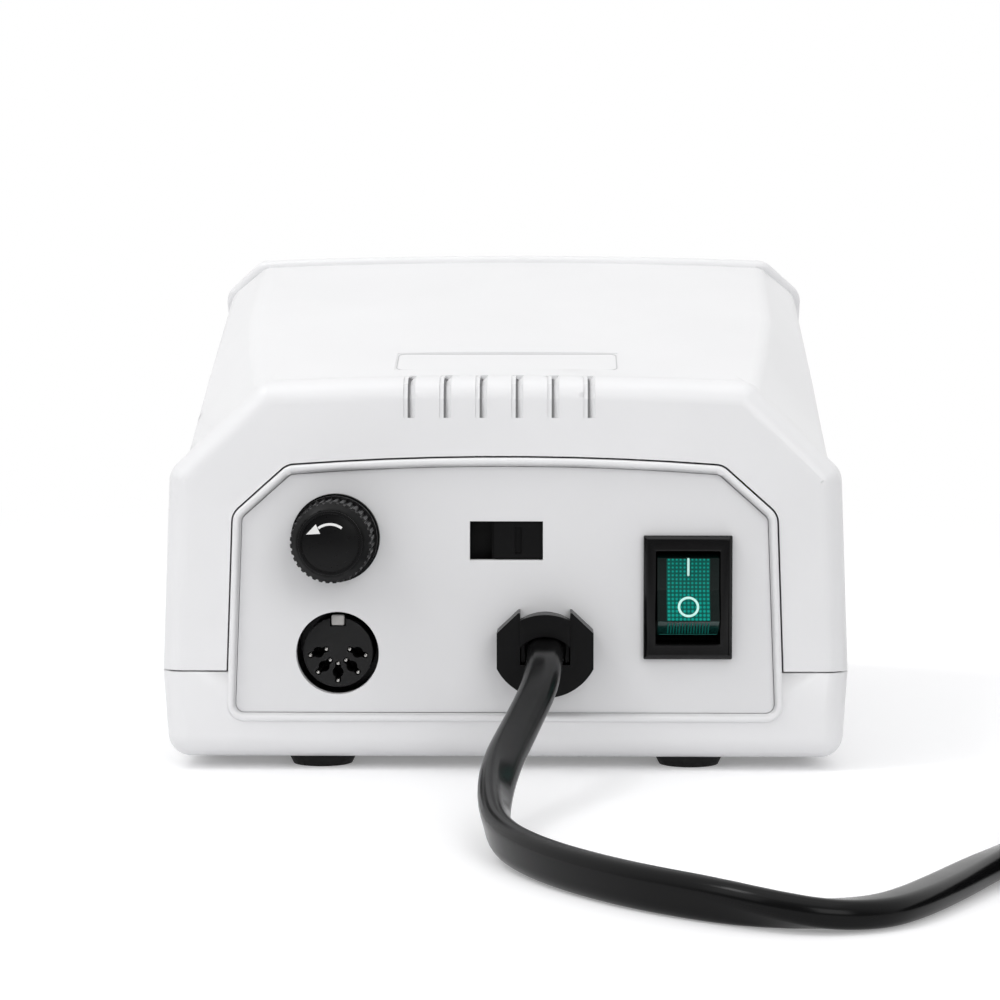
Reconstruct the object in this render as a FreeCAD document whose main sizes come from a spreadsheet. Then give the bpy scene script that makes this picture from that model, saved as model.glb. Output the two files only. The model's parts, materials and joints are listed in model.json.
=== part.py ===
import FreeCAD, Part
import math
import os
import Sketcher

# Desk control unit of a nail drill, in millimetres.
# +Z is up, the back of the case faces -Y and the sloping control panel faces +Y.
# The origin is on the table, under the middle of the unit without its mains cord.

Vector = FreeCAD.Vector
Rotation = FreeCAD.Rotation

# Driving dimensions: name, value, what it is.
# Depths are measured forward from the rear face of the case, heights up from the table.
SIZES = [
    ("case_width", 117.0, "Case width over the rear flange"),
    ("case_depth", 150.0, "Case depth from the rear face to the toe"),
    ("case_floor", 2.0, "Height of the case underside"),
    ("seam_height", 17.0, "Height of the joint between the two covers"),
    ("seam_gap", 0.3, "Gap between the two covers"),
    ("wall", 2.4, "Wall thickness of the covers"),
    ("cap_reach", 12.0, "How far the fuse cap stands behind the rear face"),
    ("tub_taper", 1.0, "How much narrower each side of the tub is at its floor"),
    ("edge_round", 4.0, "Rounding of the case's outer edges"),
    ("toe_round", 6.0, "Rounding of the tub's upright corners at the toe"),
    ("soft_round", 1.2, "Rounding of the smaller case edges"),
    ("flange_depth", 16.0, "Depth of the rear flange"),
    ("flange_shoulder_in", 1.3, "How far the flange's shoulder lies inside the case's side"),
    ("flange_shoulder", 51.0, "Height of the flange's shoulder"),
    ("flange_corner_in", 16.9, "How far the flange's top corner lies inside the case's side"),
    ("flange_corner", 66.2, "Height of the flange's top corner"),
    ("flange_crown", 0.9, "Rise of the flange's top to its middle"),
    ("waist_step", 1.5, "How far the waist's foot stands in from the case's sides"),
    ("waist_round", 1.5, "Length that the rounding takes off each side of a waist ridge"),
    ("waist_round_rise", 0.27, "How far such a rounding stands out from its chord"),
    ("waist_back_shoulder_in", 2.6, "How far the waist's rear shoulder lies inside the case's side"),
    ("waist_back_shoulder", 50.9, "Height of the waist's rear shoulder"),
    ("waist_back_corner_in", 16.1, "How far the waist's rear top corner lies inside that side"),
    ("waist_back_corner", 63.9, "Height of the waist's top corner at the back"),
    ("waist_swell_depth", 36.0, "Depth where the waist has swollen to its full width"),
    ("waist_swell_shoulder_in", 1.7, "How far the swell's shoulder lies inside the case's side"),
    ("waist_swell_shoulder", 57.8, "Height of the swell's shoulder"),
    ("waist_swell_corner_in", 12.2, "How far the swell's top corner lies inside that side"),
    ("waist_swell_corner", 71.5, "Height of the waist's top corner at the swell"),
    ("waist_belly_depth", 56.0, "Depth where the waist's top has widened out"),
    ("waist_belly_shoulder_in", 1.6, "How far the belly's shoulder lies inside the case's side"),
    ("waist_belly_shoulder", 65.9, "Height of the belly's shoulder"),
    ("waist_belly_corner_in", 10.0, "How far the belly's top corner lies inside that side"),
    ("waist_belly_corner", 76.9, "Height of the waist's top corner at the belly"),
    ("waist_front_shoulder_in", 1.7, "How far the waist's front shoulder lies inside the case's side"),
    ("waist_front_shoulder", 81.3, "Height of the waist's front shoulder"),
    ("waist_front_corner_in", 8.8, "How far the waist's front top corner lies inside that side"),
    ("waist_front_corner", 87.2, "Height of the waist's top corner at the front"),
    ("waist_crown", 1.0, "Rise of the waist's top to its middle"),
    ("arch_shoulder_in", 0.1, "How far the arch's shoulder lies inside the case's side"),
    ("arch_shoulder", 82.2, "Height of the front arch's shoulder"),
    ("arch_corner_in", 7.6, "How far the arch's top corner lies inside the case's side"),
    ("arch_corner", 88.6, "Height of the front arch's top corner"),
    ("arch_crown", 1.0, "Rise of the front arch's top to its middle"),
    ("arch_depth", 10.0, "Depth of the front arch band, along the case"),
    ("slope_top_depth", 104.0, "Depth of the control slope at the arch's corner height"),
    ("slope_foot_depth", 148.0, "Depth of the control slope at the seam"),
    ("plate_rim", 2.0, "Width of the cover's edge around the control panel"),
    ("plate_sink", 1.0, "How far the control panel lies below that edge"),
    ("plate_thickness", 2.5, "Thickness of the control panel"),
    ("frame_half", 47.3, "Half width of the rear frame at its foot"),
    ("frame_foot", 8.5, "Height of the rear frame's lower edge"),
    ("frame_shoulder_half", 46.0, "Half width at the rear frame's shoulder"),
    ("frame_shoulder", 43.8, "Height of the rear frame's shoulder"),
    ("frame_corner_half", 36.8, "Half width of the rear frame's top"),
    ("frame_corner", 52.0, "Height of the rear frame's top corner"),
    ("frame_crown", 1.4, "Rise of the rear frame's top to its middle"),
    ("frame_round", 3.0, "Rounding of the rear frame's corners"),
    ("bead_width", 1.4, "Width of the raised bead on the rear frame"),
    ("bead_proud", 0.7, "How far the bead stands behind the rear face"),
    ("ledge_width", 2.0, "Width of the ledge that the rear panel rests on"),
    ("ledge_thickness", 1.6, "Thickness of that ledge"),
    ("panel_sink", 0.3, "How far the rear panel lies inside the rear face"),
    ("panel_thickness", 2.0, "Thickness of the rear panel"),
    ("fit", 0.15, "Clearance of a piece that is set into another"),
    ("groove_count", 6.0, "Number of grooves over the rear edge"),
    ("groove_pitch", 6.08, "Distance between two grooves"),
    ("groove_width", 2.0, "Width of a groove"),
    ("groove_sink", 1.5, "Depth of a groove"),
    ("groove_drop", 7.0, "How far a groove runs down the rear face"),
    ("groove_run", 12.0, "How far a groove runs forward along the top"),
    ("groove_shift", -0.9, "Offset of the row of grooves from the middle"),
    ("name_recess_width", 39.4, "Width of the bare name recess"),
    ("name_recess_start", 19.7, "Depth where the name recess starts"),
    ("name_recess_length", 10.5, "Length of the name recess"),
    ("name_recess_sink", 0.35, "Depth of the name recess"),
    ("plate_reach", 60.0, "How far the room for the control plate reaches behind the slope"),
    ("notch_radius", 16.2, "Radius of the handpiece notch at the flange"),
    ("notch_end_radius", 11.0, "Radius of the notch where it runs out"),
    ("notch_out", 7.5, "How far the notch's axis lies outside the case's side"),
    ("notch_height", 64.0, "Height of the notch's axis"),
    ("notch_end", 38.0, "Depth where the notch ends"),
    ("boss_radius", 3.6, "Radius of the screw bosses"),
    ("boss_wall_gap", 1.1, "Gap between a screw boss and the cover's wall beside it"),
    ("boss_back_depth", 16.0, "Depth of the rear screw bosses"),
    ("boss_front_depth", 96.0, "Depth of the front screw bosses"),
    ("boss_meet", 30.0, "Height where the lower and upper bosses meet"),
    ("screw_radius", 1.4, "Radius of the case screws"),
    ("screw_head_radius", 2.7, "Radius of the case screws' heads"),
    ("screw_head_height", 2.2, "Height of the case screws' heads"),
    ("screw_seat", 9.0, "Height of the seat of the case screws' heads"),
    ("screw_length", 30.0, "Length of the case screws"),
    ("foot_radius", 6.1, "Radius of a rubber foot at its top"),
    ("foot_taper", 1.0, "How much smaller a foot is at its base"),
    ("foot_side", 31.7, "Distance of the feet from the middle"),
    ("foot_back_depth", 9.8, "Depth of the rear feet"),
    ("foot_front_depth", 134.0, "Depth of the front feet"),
    ("foot_stem_radius", 2.4, "Radius of a foot's stem"),
    ("foot_barb_radius", 3.1, "Radius of the barb that holds a foot"),
    ("fuse_x", -28.6, "Fuse holder, across"),
    ("fuse_z", 39.8, "Fuse holder, height"),
    ("fuse_lip_radius", 7.5, "Radius of the fuse holder's lip"),
    ("fuse_lip", 1.2, "Thickness of the fuse holder's lip"),
    ("fuse_barrel_radius", 6.0, "Radius of the fuse holder's barrel"),
    ("fuse_barrel_length", 26.0, "Depth that the fuse holder's barrel reaches"),
    ("fuse_bore_radius", 4.35, "Radius of the fuse holder's bore"),
    ("fuse_bore_end", 24.2, "Depth of the end of the fuse holder's bore"),
    ("fuse_nut_flats", 15.0, "Width across the flats of the fuse holder's nut"),
    ("fuse_nut_height", 3.0, "Height of the fuse holder's nut"),
    ("cap_skirt_radius", 7.2, "Radius of the fuse cap's skirt"),
    ("cap_knurl_radius", 6.8, "Radius of the fuse cap's knurl"),
    ("cap_gap", 0.25, "Gap between the fuse cap and its holder"),
    ("cap_skirt", 1.6, "Thickness of the fuse cap's skirt"),
    ("cap_bevel", 1.5, "Length of the bevel around the fuse cap's face"),
    ("cap_flute_radius", 0.3, "Radius of a groove in the fuse cap's knurl"),
    ("cap_face_radius", 5.4, "Radius of the fuse cap's flat face"),
    ("cap_ridges", 36.0, "Number of grooves in the fuse cap's knurl"),
    ("cap_stem_radius", 4.2, "Radius of the fuse cap's stem"),
    ("cap_stem_length", 7.4, "Length of the fuse cap's stem"),
    ("fuse_radius", 2.6, "Radius of the glass fuse"),
    ("fuse_length", 20.0, "Length of the glass fuse"),
    ("fuse_end_length", 5.2, "Length of the fuse's metal ends"),
    ("fuse_start", 1.4, "Depth where the fuse starts"),
    ("tab_width", 4.8, "Width of a connection tab"),
    ("tab_thickness", 0.8, "Thickness of a connection tab"),
    ("tab_length", 7.0, "Length of a connection tab"),
    ("pedal_x", -28.4, "Pedal socket, across"),
    ("pedal_z", 20.1, "Pedal socket, height"),
    ("pedal_hole_radius", 7.05, "Radius of the pedal socket's hole"),
    ("pedal_insert_radius", 5.95, "Radius of the pedal socket's insert"),
    ("pedal_insert_sink", 1.2, "Depth of the insert's face"),
    ("pedal_cup_radius", 8.0, "Outer radius of the pedal socket's shell"),
    ("pedal_flange_width", 26.0, "Width of the pedal socket's flange"),
    ("pedal_flange_height", 16.0, "Height of the pedal socket's flange"),
    ("pedal_flange", 1.5, "Thickness of the pedal socket's flange"),
    ("pedal_cup_end", 13.5, "Depth of the end of the pedal socket's shell"),
    ("pedal_floor", 1.5, "Thickness of the shell's floor"),
    ("pedal_contact_circle", 3.35, "Radius of the circle of contacts"),
    ("pedal_contact_radius", 0.45, "Radius of a contact"),
    ("pedal_slot_length", 3.7, "Length of a contact's slot"),
    ("pedal_key_width", 2.2, "Width of the key spring"),
    ("pedal_key_height", 1.8, "Height of the key spring"),
    ("small_screw_radius", 0.8, "Radius of the small screws"),
    ("small_screw_head", 1.2, "Height of the small screws' heads"),
    ("fixing_radius", 1.7, "Radius of the small bosses on the rear panel"),
    ("fixing_inset", 2.2, "Distance of those bosses from the ends of what they hold"),
    ("fixing_skin", 0.8, "Thickness of the panel left in front of their screws"),
    ("selector_x", 0.3, "Voltage selector, across"),
    ("selector_z", 39.3, "Voltage selector, height"),
    ("selector_window_width", 12.4, "Width of the selector's window"),
    ("selector_window_height", 6.6, "Height of the selector's window"),
    ("selector_width", 19.0, "Width of the selector's housing"),
    ("selector_height", 9.6, "Height of the selector's housing"),
    ("selector_end", 10.6, "Depth of the end of the selector's housing"),
    ("selector_ear_width", 29.0, "Width over the selector's ears"),
    ("selector_pin_pitch", 5.0, "Distance between the selector's pins"),
    ("slider_width", 8.2, "Width of the selector's slider"),
    ("slider_travel", 4.0, "Travel of the selector's slider"),
    ("slider_sink", 1.0, "Depth of the slider's face"),
    ("slider_play", 0.1, "Play of the slider in its window"),
    ("slider_foot_width", 9.0, "Width of the slider's foot"),
    ("slider_foot_height", 7.4, "Height of the slider's foot"),
    ("slider_foot", 3.5, "Depth of the slider's foot"),
    ("slider_slot", 1.2, "Width of the slot across the slider"),
    ("relief_x", 6.9, "Strain relief, across"),
    ("relief_z", 19.7, "Strain relief, height"),
    ("relief_half", 8.1, "Half width of the strain relief's head"),
    ("relief_top", 8.0, "Height of the head above its middle"),
    ("relief_shoulder", 4.6, "Height of the head's shoulder above its middle"),
    ("relief_waist", 1.4, "Depth of the head's flat sides below its middle"),
    ("relief_corner", 3.6, "Width of the bevel on the head's upper corners"),
    ("relief_belly", 4.9, "Drop of the head's round underside"),
    ("relief_reach", 6.8, "How far the head stands behind the rear panel"),
    ("relief_neck_radius", 6.0, "Radius of the strain relief's neck"),
    ("relief_neck_end", 10.0, "Depth of the end of the neck"),
    ("relief_latch_radius", 6.9, "Radius of the latches behind the rear panel"),
    ("relief_latch", 2.0, "Thickness of the latches"),
    ("channel_half", 4.2, "Half width of the cord channel"),
    ("channel_floor", 0.75, "Depth of the channel's floor below the head's middle"),
    ("clamp_leg", 0.7, "Thickness of the clamp's legs"),
    ("clamp_roof", 4.9, "Height of the clamp's roof above the head's middle"),
    ("clamp_roof_thickness", 1.5, "Thickness of the clamp's roof at its sides"),
    ("clamp_crown", 1.2, "Rise of the clamp's arched top"),
    ("clamp_back", 1.2, "How far the clamp lies inside the head's end"),
    ("switch_x", 31.0, "Power switch, across"),
    ("switch_z", 29.8, "Power switch, height"),
    ("switch_width", 15.0, "Width of the power switch's bezel"),
    ("switch_height", 21.0, "Height of the power switch's bezel"),
    ("mini_width", 10.5, "Width of a small switch's bezel"),
    ("mini_height", 15.0, "Height of a small switch's bezel"),
    ("bezel_proud", 1.8, "Thickness of a switch's bezel"),
    ("bezel_lap", 1.0, "How far a bezel laps over its cut-out"),
    ("rocker_margin", 2.1, "Width of a bezel beside its rocker"),
    ("rocker_margin_ends", 2.55, "Width of a bezel above and below its rocker"),
    ("rocker_play", 0.2, "Play beside a rocker"),
    ("bezel_bevel", 0.6, "Bevel on a bezel's outer edge"),
    ("rocker_undercut", 0.75, "How much longer a rocker's room is than its opening"),
    ("rocker_room", 10.2, "Depth of a rocker's room below the panel's face"),
    ("rocker_crest_gap", 2.6, "Distance of a rocker's crests from the ends of its opening"),
    ("rocker_end_slope", 2.0, "How far a rocker's ends slope outwards below their crests"),
    ("rocker_heel", 1.5, "Depth of a rocker's heel below its pivot"),
    ("switch_tab_pitch", 6.4, "Distance between a switch's tabs"),
    ("switch_lamp_radius", 1.1, "Radius of the lamp in the power switch"),
    ("switch_lamp_length", 6.5, "Length of the lamp in the power switch"),
    ("rocker_tilt", 11.0, "Tilt of a rocker to each side, in degrees"),
    ("rocker_arm", 8.0, "Distance of a rocker's crests from its pivot"),
    ("rocker_foot_drop", 4.1, "Drop from a rocker's crest to its foot"),
    ("pivot_sink", 4.9, "Depth of a rocker's pivot below the panel's face"),
    ("pivot_radius", 1.1, "Radius of a rocker's pivot"),
    ("running_fit", 0.05, "Radial clearance of a shaft that turns"),
    ("switch_body", 15.0, "Depth of a switch's body below the panel's face"),
    ("control_knob_x", 0.0, "Speed control across the control panel"),
    ("control_knob_v", 3.0, "Speed control up the control panel"),
    ("knob_radius", 16.0, "Radius of the speed knob's skirt"),
    ("knob_grip_radius", 13.2, "Radius of the speed knob's grip"),
    ("knob_skirt", 3.0, "Height of the speed knob's skirt"),
    ("knob_height", 15.0, "Height of the speed knob"),
    ("knob_lift", 0.6, "Gap under the speed knob"),
    ("knob_mark", 1.4, "Width of the pointer groove on the knob"),
    ("knob_zero_angle", 240.0, "Where the knob points at zero, counterclockwise from the right"),
    ("knob_flutes", 24.0, "Number of flutes around the speed knob"),
    ("knob_flute_radius", 0.8, "Radius of a flute"),
    ("pot_radius", 8.2, "Radius of the speed control's body"),
    ("pot_height", 10.0, "Height of the speed control's body"),
    ("pot_bush_radius", 3.5, "Radius of the speed control's threaded bush"),
    ("pot_bush_proud", 4.0, "How far the bush stands out of the control panel"),
    ("pot_shaft_radius", 3.0, "Radius of the speed control's shaft"),
    ("pot_nut_flats", 10.0, "Width across the flats of the bush's nut"),
    ("pot_nut_height", 2.0, "Height of the bush's nut"),
    ("jack_x", -34.0, "Handpiece socket across the control panel"),
    ("jack_v", -14.0, "Handpiece socket up the control panel"),
    ("jack_lip_radius", 8.2, "Radius of the handpiece socket's lip"),
    ("jack_lip", 2.2, "Height of the handpiece socket's lip"),
    ("jack_barrel_radius", 6.0, "Radius of the handpiece socket's barrel"),
    ("jack_barrel_length", 14.0, "Length of the handpiece socket's barrel"),
    ("jack_bore_radius", 4.6, "Radius of the handpiece socket's bore"),
    ("jack_mouth_radius", 5.2, "Radius of the handpiece socket's wider mouth"),
    ("jack_mouth_depth", 3.0, "Depth of that mouth"),
    ("jack_bore_depth", 11.0, "Depth of the handpiece socket's bore"),
    ("jack_insert", 4.0, "Thickness of the handpiece socket's insert"),
    ("jack_pin_radius", 0.6, "Radius of a contact pin"),
    ("jack_pin_circle", 2.2, "Radius of the circle of contact pins"),
    ("jack_pin_sink", 3.2, "How far the pins end inside the lip"),
    ("jack_nut_flats", 15.0, "Width across the flats of the socket's nut"),
    ("jack_nut_height", 2.5, "Height of the socket's nut"),
    ("mini_switch_x", 34.0, "Small switches across the control panel"),
    ("direction_v", 13.0, "Direction switch up the control panel"),
    ("mode_v", -14.0, "Hand or foot switch up the control panel"),
    ("lamp_x", -34.0, "Power indicator across the control panel"),
    ("lamp_v", 15.0, "Power indicator up the control panel"),
    ("lamp_radius", 2.5, "Radius of the indicator's lens"),
    ("lamp_ring_radius", 4.2, "Radius of the indicator's ring"),
    ("lamp_wall", 0.8, "Wall of the indicator's sleeve with its clearance"),
    ("lamp_ring", 1.4, "Height of the indicator's ring"),
    ("core_x", 24.0, "Transformer, across"),
    ("core_depth", 74.0, "Transformer, depth of its middle"),
    ("core_length", 57.0, "Length of the transformer core"),
    ("core_stack", 28.0, "Thickness of the transformer core's stack"),
    ("core_height", 47.5, "Height of the transformer core"),
    ("core_limb", 19.0, "Width of the core's middle limb"),
    ("core_window", 9.5, "Width of each window in the core"),
    ("core_lift", 3.4, "Height of the core above the case floor"),
    ("coil_overhang", 9.0, "How far the winding stands out of the stack"),
    ("strap_thickness", 1.5, "Thickness of the transformer's strap"),
    ("strap_width", 20.0, "Width of the transformer's strap"),
    ("strap_foot", 7.0, "Length of the strap's feet"),
    ("strap_screw_radius", 1.3, "Radius of the strap's screws"),
    ("strap_screw_length", 6.0, "Length of the strap's screws"),
    ("board_boss_gap", 0.7, "Gap between the circuit board and the screw bosses beside it"),
    ("board_gap", 26.0, "Gap between the circuit board and the control slope's foot"),
    ("board_width", 40.0, "Width of the circuit board"),
    ("board_length", 84.0, "Length of the circuit board"),
    ("board_height", 12.0, "Height of the circuit board's underside"),
    ("board_thickness", 1.6, "Thickness of the circuit board"),
    ("board_hole_inset", 4.0, "Distance of the board's screws from its edges"),
    ("board_screw", 5.5, "Length of the board's screws below its upper face"),
    ("sink_x", 0.0, "Heat sink across the board, from its middle"),
    ("sink_gap", 18.0, "Distance of the heat sink from the front end of the board"),
    ("sink_width", 30.0, "Width of the heat sink"),
    ("sink_depth", 10.0, "Depth of the heat sink's fins"),
    ("sink_height", 26.0, "Height of the heat sink"),
    ("sink_wall", 1.6, "Thickness of the heat sink's plate and fins"),
    ("sink_fins", 6.0, "Number of fins on the heat sink"),
    ("transistor_width", 10.0, "Width of the power transistor"),
    ("transistor_height", 16.0, "Height of the power transistor"),
    ("transistor_thickness", 4.4, "Thickness of the power transistor"),
    ("can_x", 8.0, "Filter capacitors across the board, from its middle"),
    ("can_gap", 22.0, "Distance of the filter capacitors from the heat sink"),
    ("can_pitch", 15.0, "Distance between the filter capacitors"),
    ("can_radius", 6.3, "Radius of a filter capacitor"),
    ("can_height", 25.0, "Height of a filter capacitor"),
    ("bridge_x", -9.0, "Bridge rectifier across the board, from its middle"),
    ("bridge_y", 2.0, "Bridge rectifier along the board, from its middle"),
    ("bridge_size", 15.0, "Width and height of the bridge rectifier"),
    ("bridge_thickness", 4.0, "Thickness of the bridge rectifier"),
    ("header_x", -6.0, "Connectors across the board, from its middle"),
    ("header_y", -22.0, "Connectors along the board, from its middle"),
    ("header_pitch", 10.0, "Distance between the connectors"),
    ("header_width", 14.0, "Width of a connector"),
    ("header_length", 6.0, "Length of a connector"),
    ("header_height", 8.0, "Height of a connector"),
    ("cord_exit_x", 7.0, "Where the cord leaves the strain relief, across"),
    ("cord_exit_z", 21.6, "Where the cord leaves the strain relief, height"),
    ("cord_width", 5.0, "Diameter of the round stand-in for the flat cord"),
    ("coil_pitch", 5.6, "Distance between two turns of the put-away coil"),
    ("coil_inner_radius", 29.0, "Radius of the coil's innermost turn"),
    ("coil_turns", 5.083, "Turns in the coil's two layers"),
    ("coil_layer_step", 6.5, "Height between the coil's two layers"),
    ("sheath_overhang", 3.0, "How far the cord's sheath stands out of the relief's neck"),
    ("lead_radius", 1.1, "Radius of the leads inside"),
    ("plug_width", 35.3, "Width of the plug"),
    ("plug_thickness", 13.7, "Thickness of the plug"),
    ("plug_length", 36.0, "Length of the plug"),
    ("plug_round", 3.5, "Rounding of the plug's edges"),
    ("plug_pin_root", 8.0, "How far a pin goes into the plug"),
    ("plug_root_radius", 1.6, "Radius of that part of a pin"),
    ("plug_nose", 22.0, "Width of the plug at its cord end"),
    ("plug_boot_length", 14.0, "Length of the plug's tapered sleeve"),
    ("plug_boot_radius", 4.6, "Radius of that sleeve at the plug"),
    ("plug_pin_radius", 2.0, "Radius of a plug pin"),
    ("plug_pin_length", 19.0, "Length of a plug pin"),
    ("plug_pin_pitch", 18.6, "Distance between the plug pins"),
]

doc = FreeCAD.newDocument("nail_drill_unit")
sheet = doc.addObject("Spreadsheet::Sheet", "Sizes")


class Size:
    """A number together with the sheet formula that it comes from."""

    def __init__(self, value, text):
        self.value = float(value)
        self.text = text

    def __add__(self, other):
        other = size(other)
        return Size(self.value + other.value, f"({self.text} + {other.text})")

    def __sub__(self, other):
        other = size(other)
        return Size(self.value - other.value, f"({self.text} - {other.text})")

    def __mul__(self, other):
        other = size(other)
        return Size(self.value * other.value, f"({self.text} * {other.text})")

    def __truediv__(self, other):
        other = size(other)
        return Size(self.value / other.value, f"({self.text} / {other.text})")

    def __neg__(self):
        return Size(-self.value, f"(0 - {self.text})")

    def __radd__(self, other):
        return size(other) + self

    def __rsub__(self, other):
        return size(other) - self

    def __rmul__(self, other):
        return size(other) * self

    def __rtruediv__(self, other):
        return size(other) / self


def size(number):
    """A plain number as a Size, or a Size as it is."""
    if isinstance(number, Size):
        return number
    return Size(number, f"({float(number)!r})")


def cosine(angle):
    """The cosine of an angle in degrees."""
    angle = size(angle)
    return Size(math.cos(math.radians(angle.value)), f"cos({angle.text} * 1 deg)")


def sine(angle):
    """The sine of an angle in degrees."""
    angle = size(angle)
    return Size(math.sin(math.radians(angle.value)), f"sin({angle.text} * 1 deg)")


def root(number):
    """The square root of a size."""
    number = size(number)
    return Size(math.sqrt(number.value), f"sqrt({number.text})")


def half_turn_share(across, along):
    """tan of half the angle whose tangent is across / along."""
    across = size(across)
    along = size(along)
    value = math.tan(math.atan2(across.value, along.value) / 2)
    return Size(value, f"tan(atan({across.text} / {along.text}) / 2)")


class Sheet:
    """Every driving dimension by its name."""


S = Sheet()
for row, (alias, value, meaning) in enumerate(SIZES, start=1):
    sheet.set(f"A{row}", meaning)
    sheet.set(f"B{row}", repr(value))
    sheet.setAlias(f"B{row}", alias)
    setattr(S, alias, Size(value, f"Sizes.{alias}"))
doc.recompute()

NODES = []
PLANES = {
    "XY": (Rotation(), "z", Vector(0, 0, 1)),
    "XZ": (Rotation(Vector(1, 0, 0), 90), "y", Vector(0, 1, 0)),
    "YZ": (Rotation(Vector(1, 1, 1), 120), "x", Vector(1, 0, 0)),
}
AXES = {
    "X": (Rotation(Vector(0, 1, 0), 90), ("x", "y", "z")),
    "Y": (Rotation(Vector(1, 0, 0), -90), ("y", "x", "z")),
    "Z": (Rotation(), ("z", "x", "y")),
}


def bind(item, path, value):
    """Ties one size of an object to the sheet."""
    item.setExpression(path, size(value).text)


def sub_part(node, item):
    """Names a finished sub-part after its node."""
    item.Label = node
    NODES.append(item)
    return item


def block(name, x, y, z):
    """A box between two places on each axis."""
    item = doc.addObject("Part::Box", name)
    for axis, prop, (low, high) in (("x", "Length", x), ("y", "Width", y), ("z", "Height", z)):
        bind(item, prop, size(high) - low)
        bind(item, f"Placement.Base.{axis}", low)
    return item


def rod(name, axis, ends, centre, radius):
    """A cylinder along an axis, between two places on it."""
    rotation, (along, first, second) = AXES[axis]
    item = doc.addObject("Part::Cylinder", name)
    item.Placement = FreeCAD.Placement(Vector(), rotation)
    bind(item, "Height", size(ends[1]) - ends[0])
    bind(item, "Radius", radius)
    bind(item, f"Placement.Base.{along}", ends[0])
    bind(item, f"Placement.Base.{first}", centre[0])
    bind(item, f"Placement.Base.{second}", centre[1])
    return item


def taper(name, axis, ends, centre, radii):
    """A cone along an axis, with a radius at each end."""
    rotation, (along, first, second) = AXES[axis]
    item = doc.addObject("Part::Cone", name)
    item.Placement = FreeCAD.Placement(Vector(), rotation)
    bind(item, "Height", size(ends[1]) - ends[0])
    bind(item, "Radius1", radii[0])
    bind(item, "Radius2", radii[1])
    bind(item, f"Placement.Base.{along}", ends[0])
    bind(item, f"Placement.Base.{first}", centre[0])
    bind(item, f"Placement.Base.{second}", centre[1])
    return item


def arc_between(start, end, rise):
    """The circle through two points that stands out by rise, and its two angles."""
    chord = end - start
    radius = (chord.Length**2 / 4 + rise**2) / (2 * rise)
    side = Vector(-chord.y, chord.x, 0).normalize()
    centre = (start + end) / 2 + side * (radius - rise)
    first = math.atan2(start.y - centre.y, start.x - centre.x)
    last = math.atan2(end.y - centre.y, end.x - centre.x)
    return Part.ArcOfCircle(Part.Circle(centre, Vector(0, 0, 1), radius), first, last)


def outline(name, plane, at, corners):
    """A closed, fully constrained sketch through corners, taken anticlockwise.

    A corner is (across, up), or (across, up, rise) where an arc that stands out by rise
    runs from it to the next corner.
    """
    rotation, offset_axis, _ = PLANES[plane]
    sketch = doc.addObject("Sketcher::SketchObject", name)
    sketch.Placement = FreeCAD.Placement(Vector(), rotation)
    bind(sketch, f"Placement.Base.{offset_axis}", at)
    places = [(size(corner[0]), size(corner[1])) for corner in corners]
    points = [Vector(across.value, up.value, 0) for across, up in places]
    for i, corner in enumerate(corners):
        start, end = points[i], points[(i + 1) % len(points)]
        if len(corner) == 3:
            sketch.addGeometry(arc_between(start, end, size(corner[2]).value), False)
        else:
            sketch.addGeometry(Part.LineSegment(start, end), False)
    for i in range(len(corners)):
        following = (i + 1) % len(corners)
        sketch.addConstraint(Sketcher.Constraint("Coincident", i, 2, following, 1))
    for i, (across, up) in enumerate(places):
        for kind, place in (("DistanceX", across), ("DistanceY", up)):
            index = sketch.addConstraint(Sketcher.Constraint(kind, -1, 1, i, 1, place.value))
            bind(sketch, f"Constraints[{index}]", place)
        if len(corners[i]) == 3:
            rise = size(corners[i][2])
            far_across, far_up = places[(i + 1) % len(places)]
            run, climb = far_across - across, far_up - up
            radius = ((run * run + climb * climb) / 4 + rise * rise) / (2 * rise)
            index = sketch.addConstraint(Sketcher.Constraint("Radius", i, radius.value))
            bind(sketch, f"Constraints[{index}]", radius)
    return sketch


def slab(name, plane, span, corners):
    """An outline on a plane, drawn out from one place to another along its normal."""
    item = doc.addObject("Part::Extrusion", name)
    item.Base = outline(f"{name} outline", plane, span[0], corners)
    item.DirMode = "Custom"
    item.Dir = PLANES[plane][2]
    item.Solid = True
    bind(item, "LengthFwd", size(span[1]) - span[0])
    return item


def loft(name, plane, sections):
    """A solid between two outlines, each given as (place, corners)."""
    item = doc.addObject("Part::Loft", name)
    item.Sections = [
        outline(f"{name} section {i}", plane, at, corners)
        for i, (at, corners) in enumerate(sections, start=1)
    ]
    item.Solid = True
    item.Ruled = True
    return item


def fuse(name, *items):
    item = doc.addObject("Part::MultiFuse", name)
    item.Shapes = list(items)
    item.Refine = True
    return item


def cut(name, base, *tools):
    item = doc.addObject("Part::Cut", name)
    item.Base = base
    item.Tool = tools[0] if len(tools) == 1 else fuse(f"{name} tools", *tools)
    return item


def common(name, *items):
    item = doc.addObject("Part::MultiCommon", name)
    item.Shapes = list(items)
    return item


def group(name, items):
    item = doc.addObject("Part::Compound", name)
    item.Links = list(items)
    return item


def rounded(name, base, *rules):
    """Rounds the edges of base; a rule is (radius, test of an edge)."""
    doc.recompute()
    item = doc.addObject("Part::Fillet", name)
    item.Base = base
    edges = []
    for number, edge in enumerate(base.Shape.Edges, start=1):
        for radius, test in rules:
            if test(edge):
                edges.append((number, size(radius).value, size(radius).value))
                break
    if not edges:
        raise ValueError(f"{name}: no edge to round")
    item.Edges = edges
    return item


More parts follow.
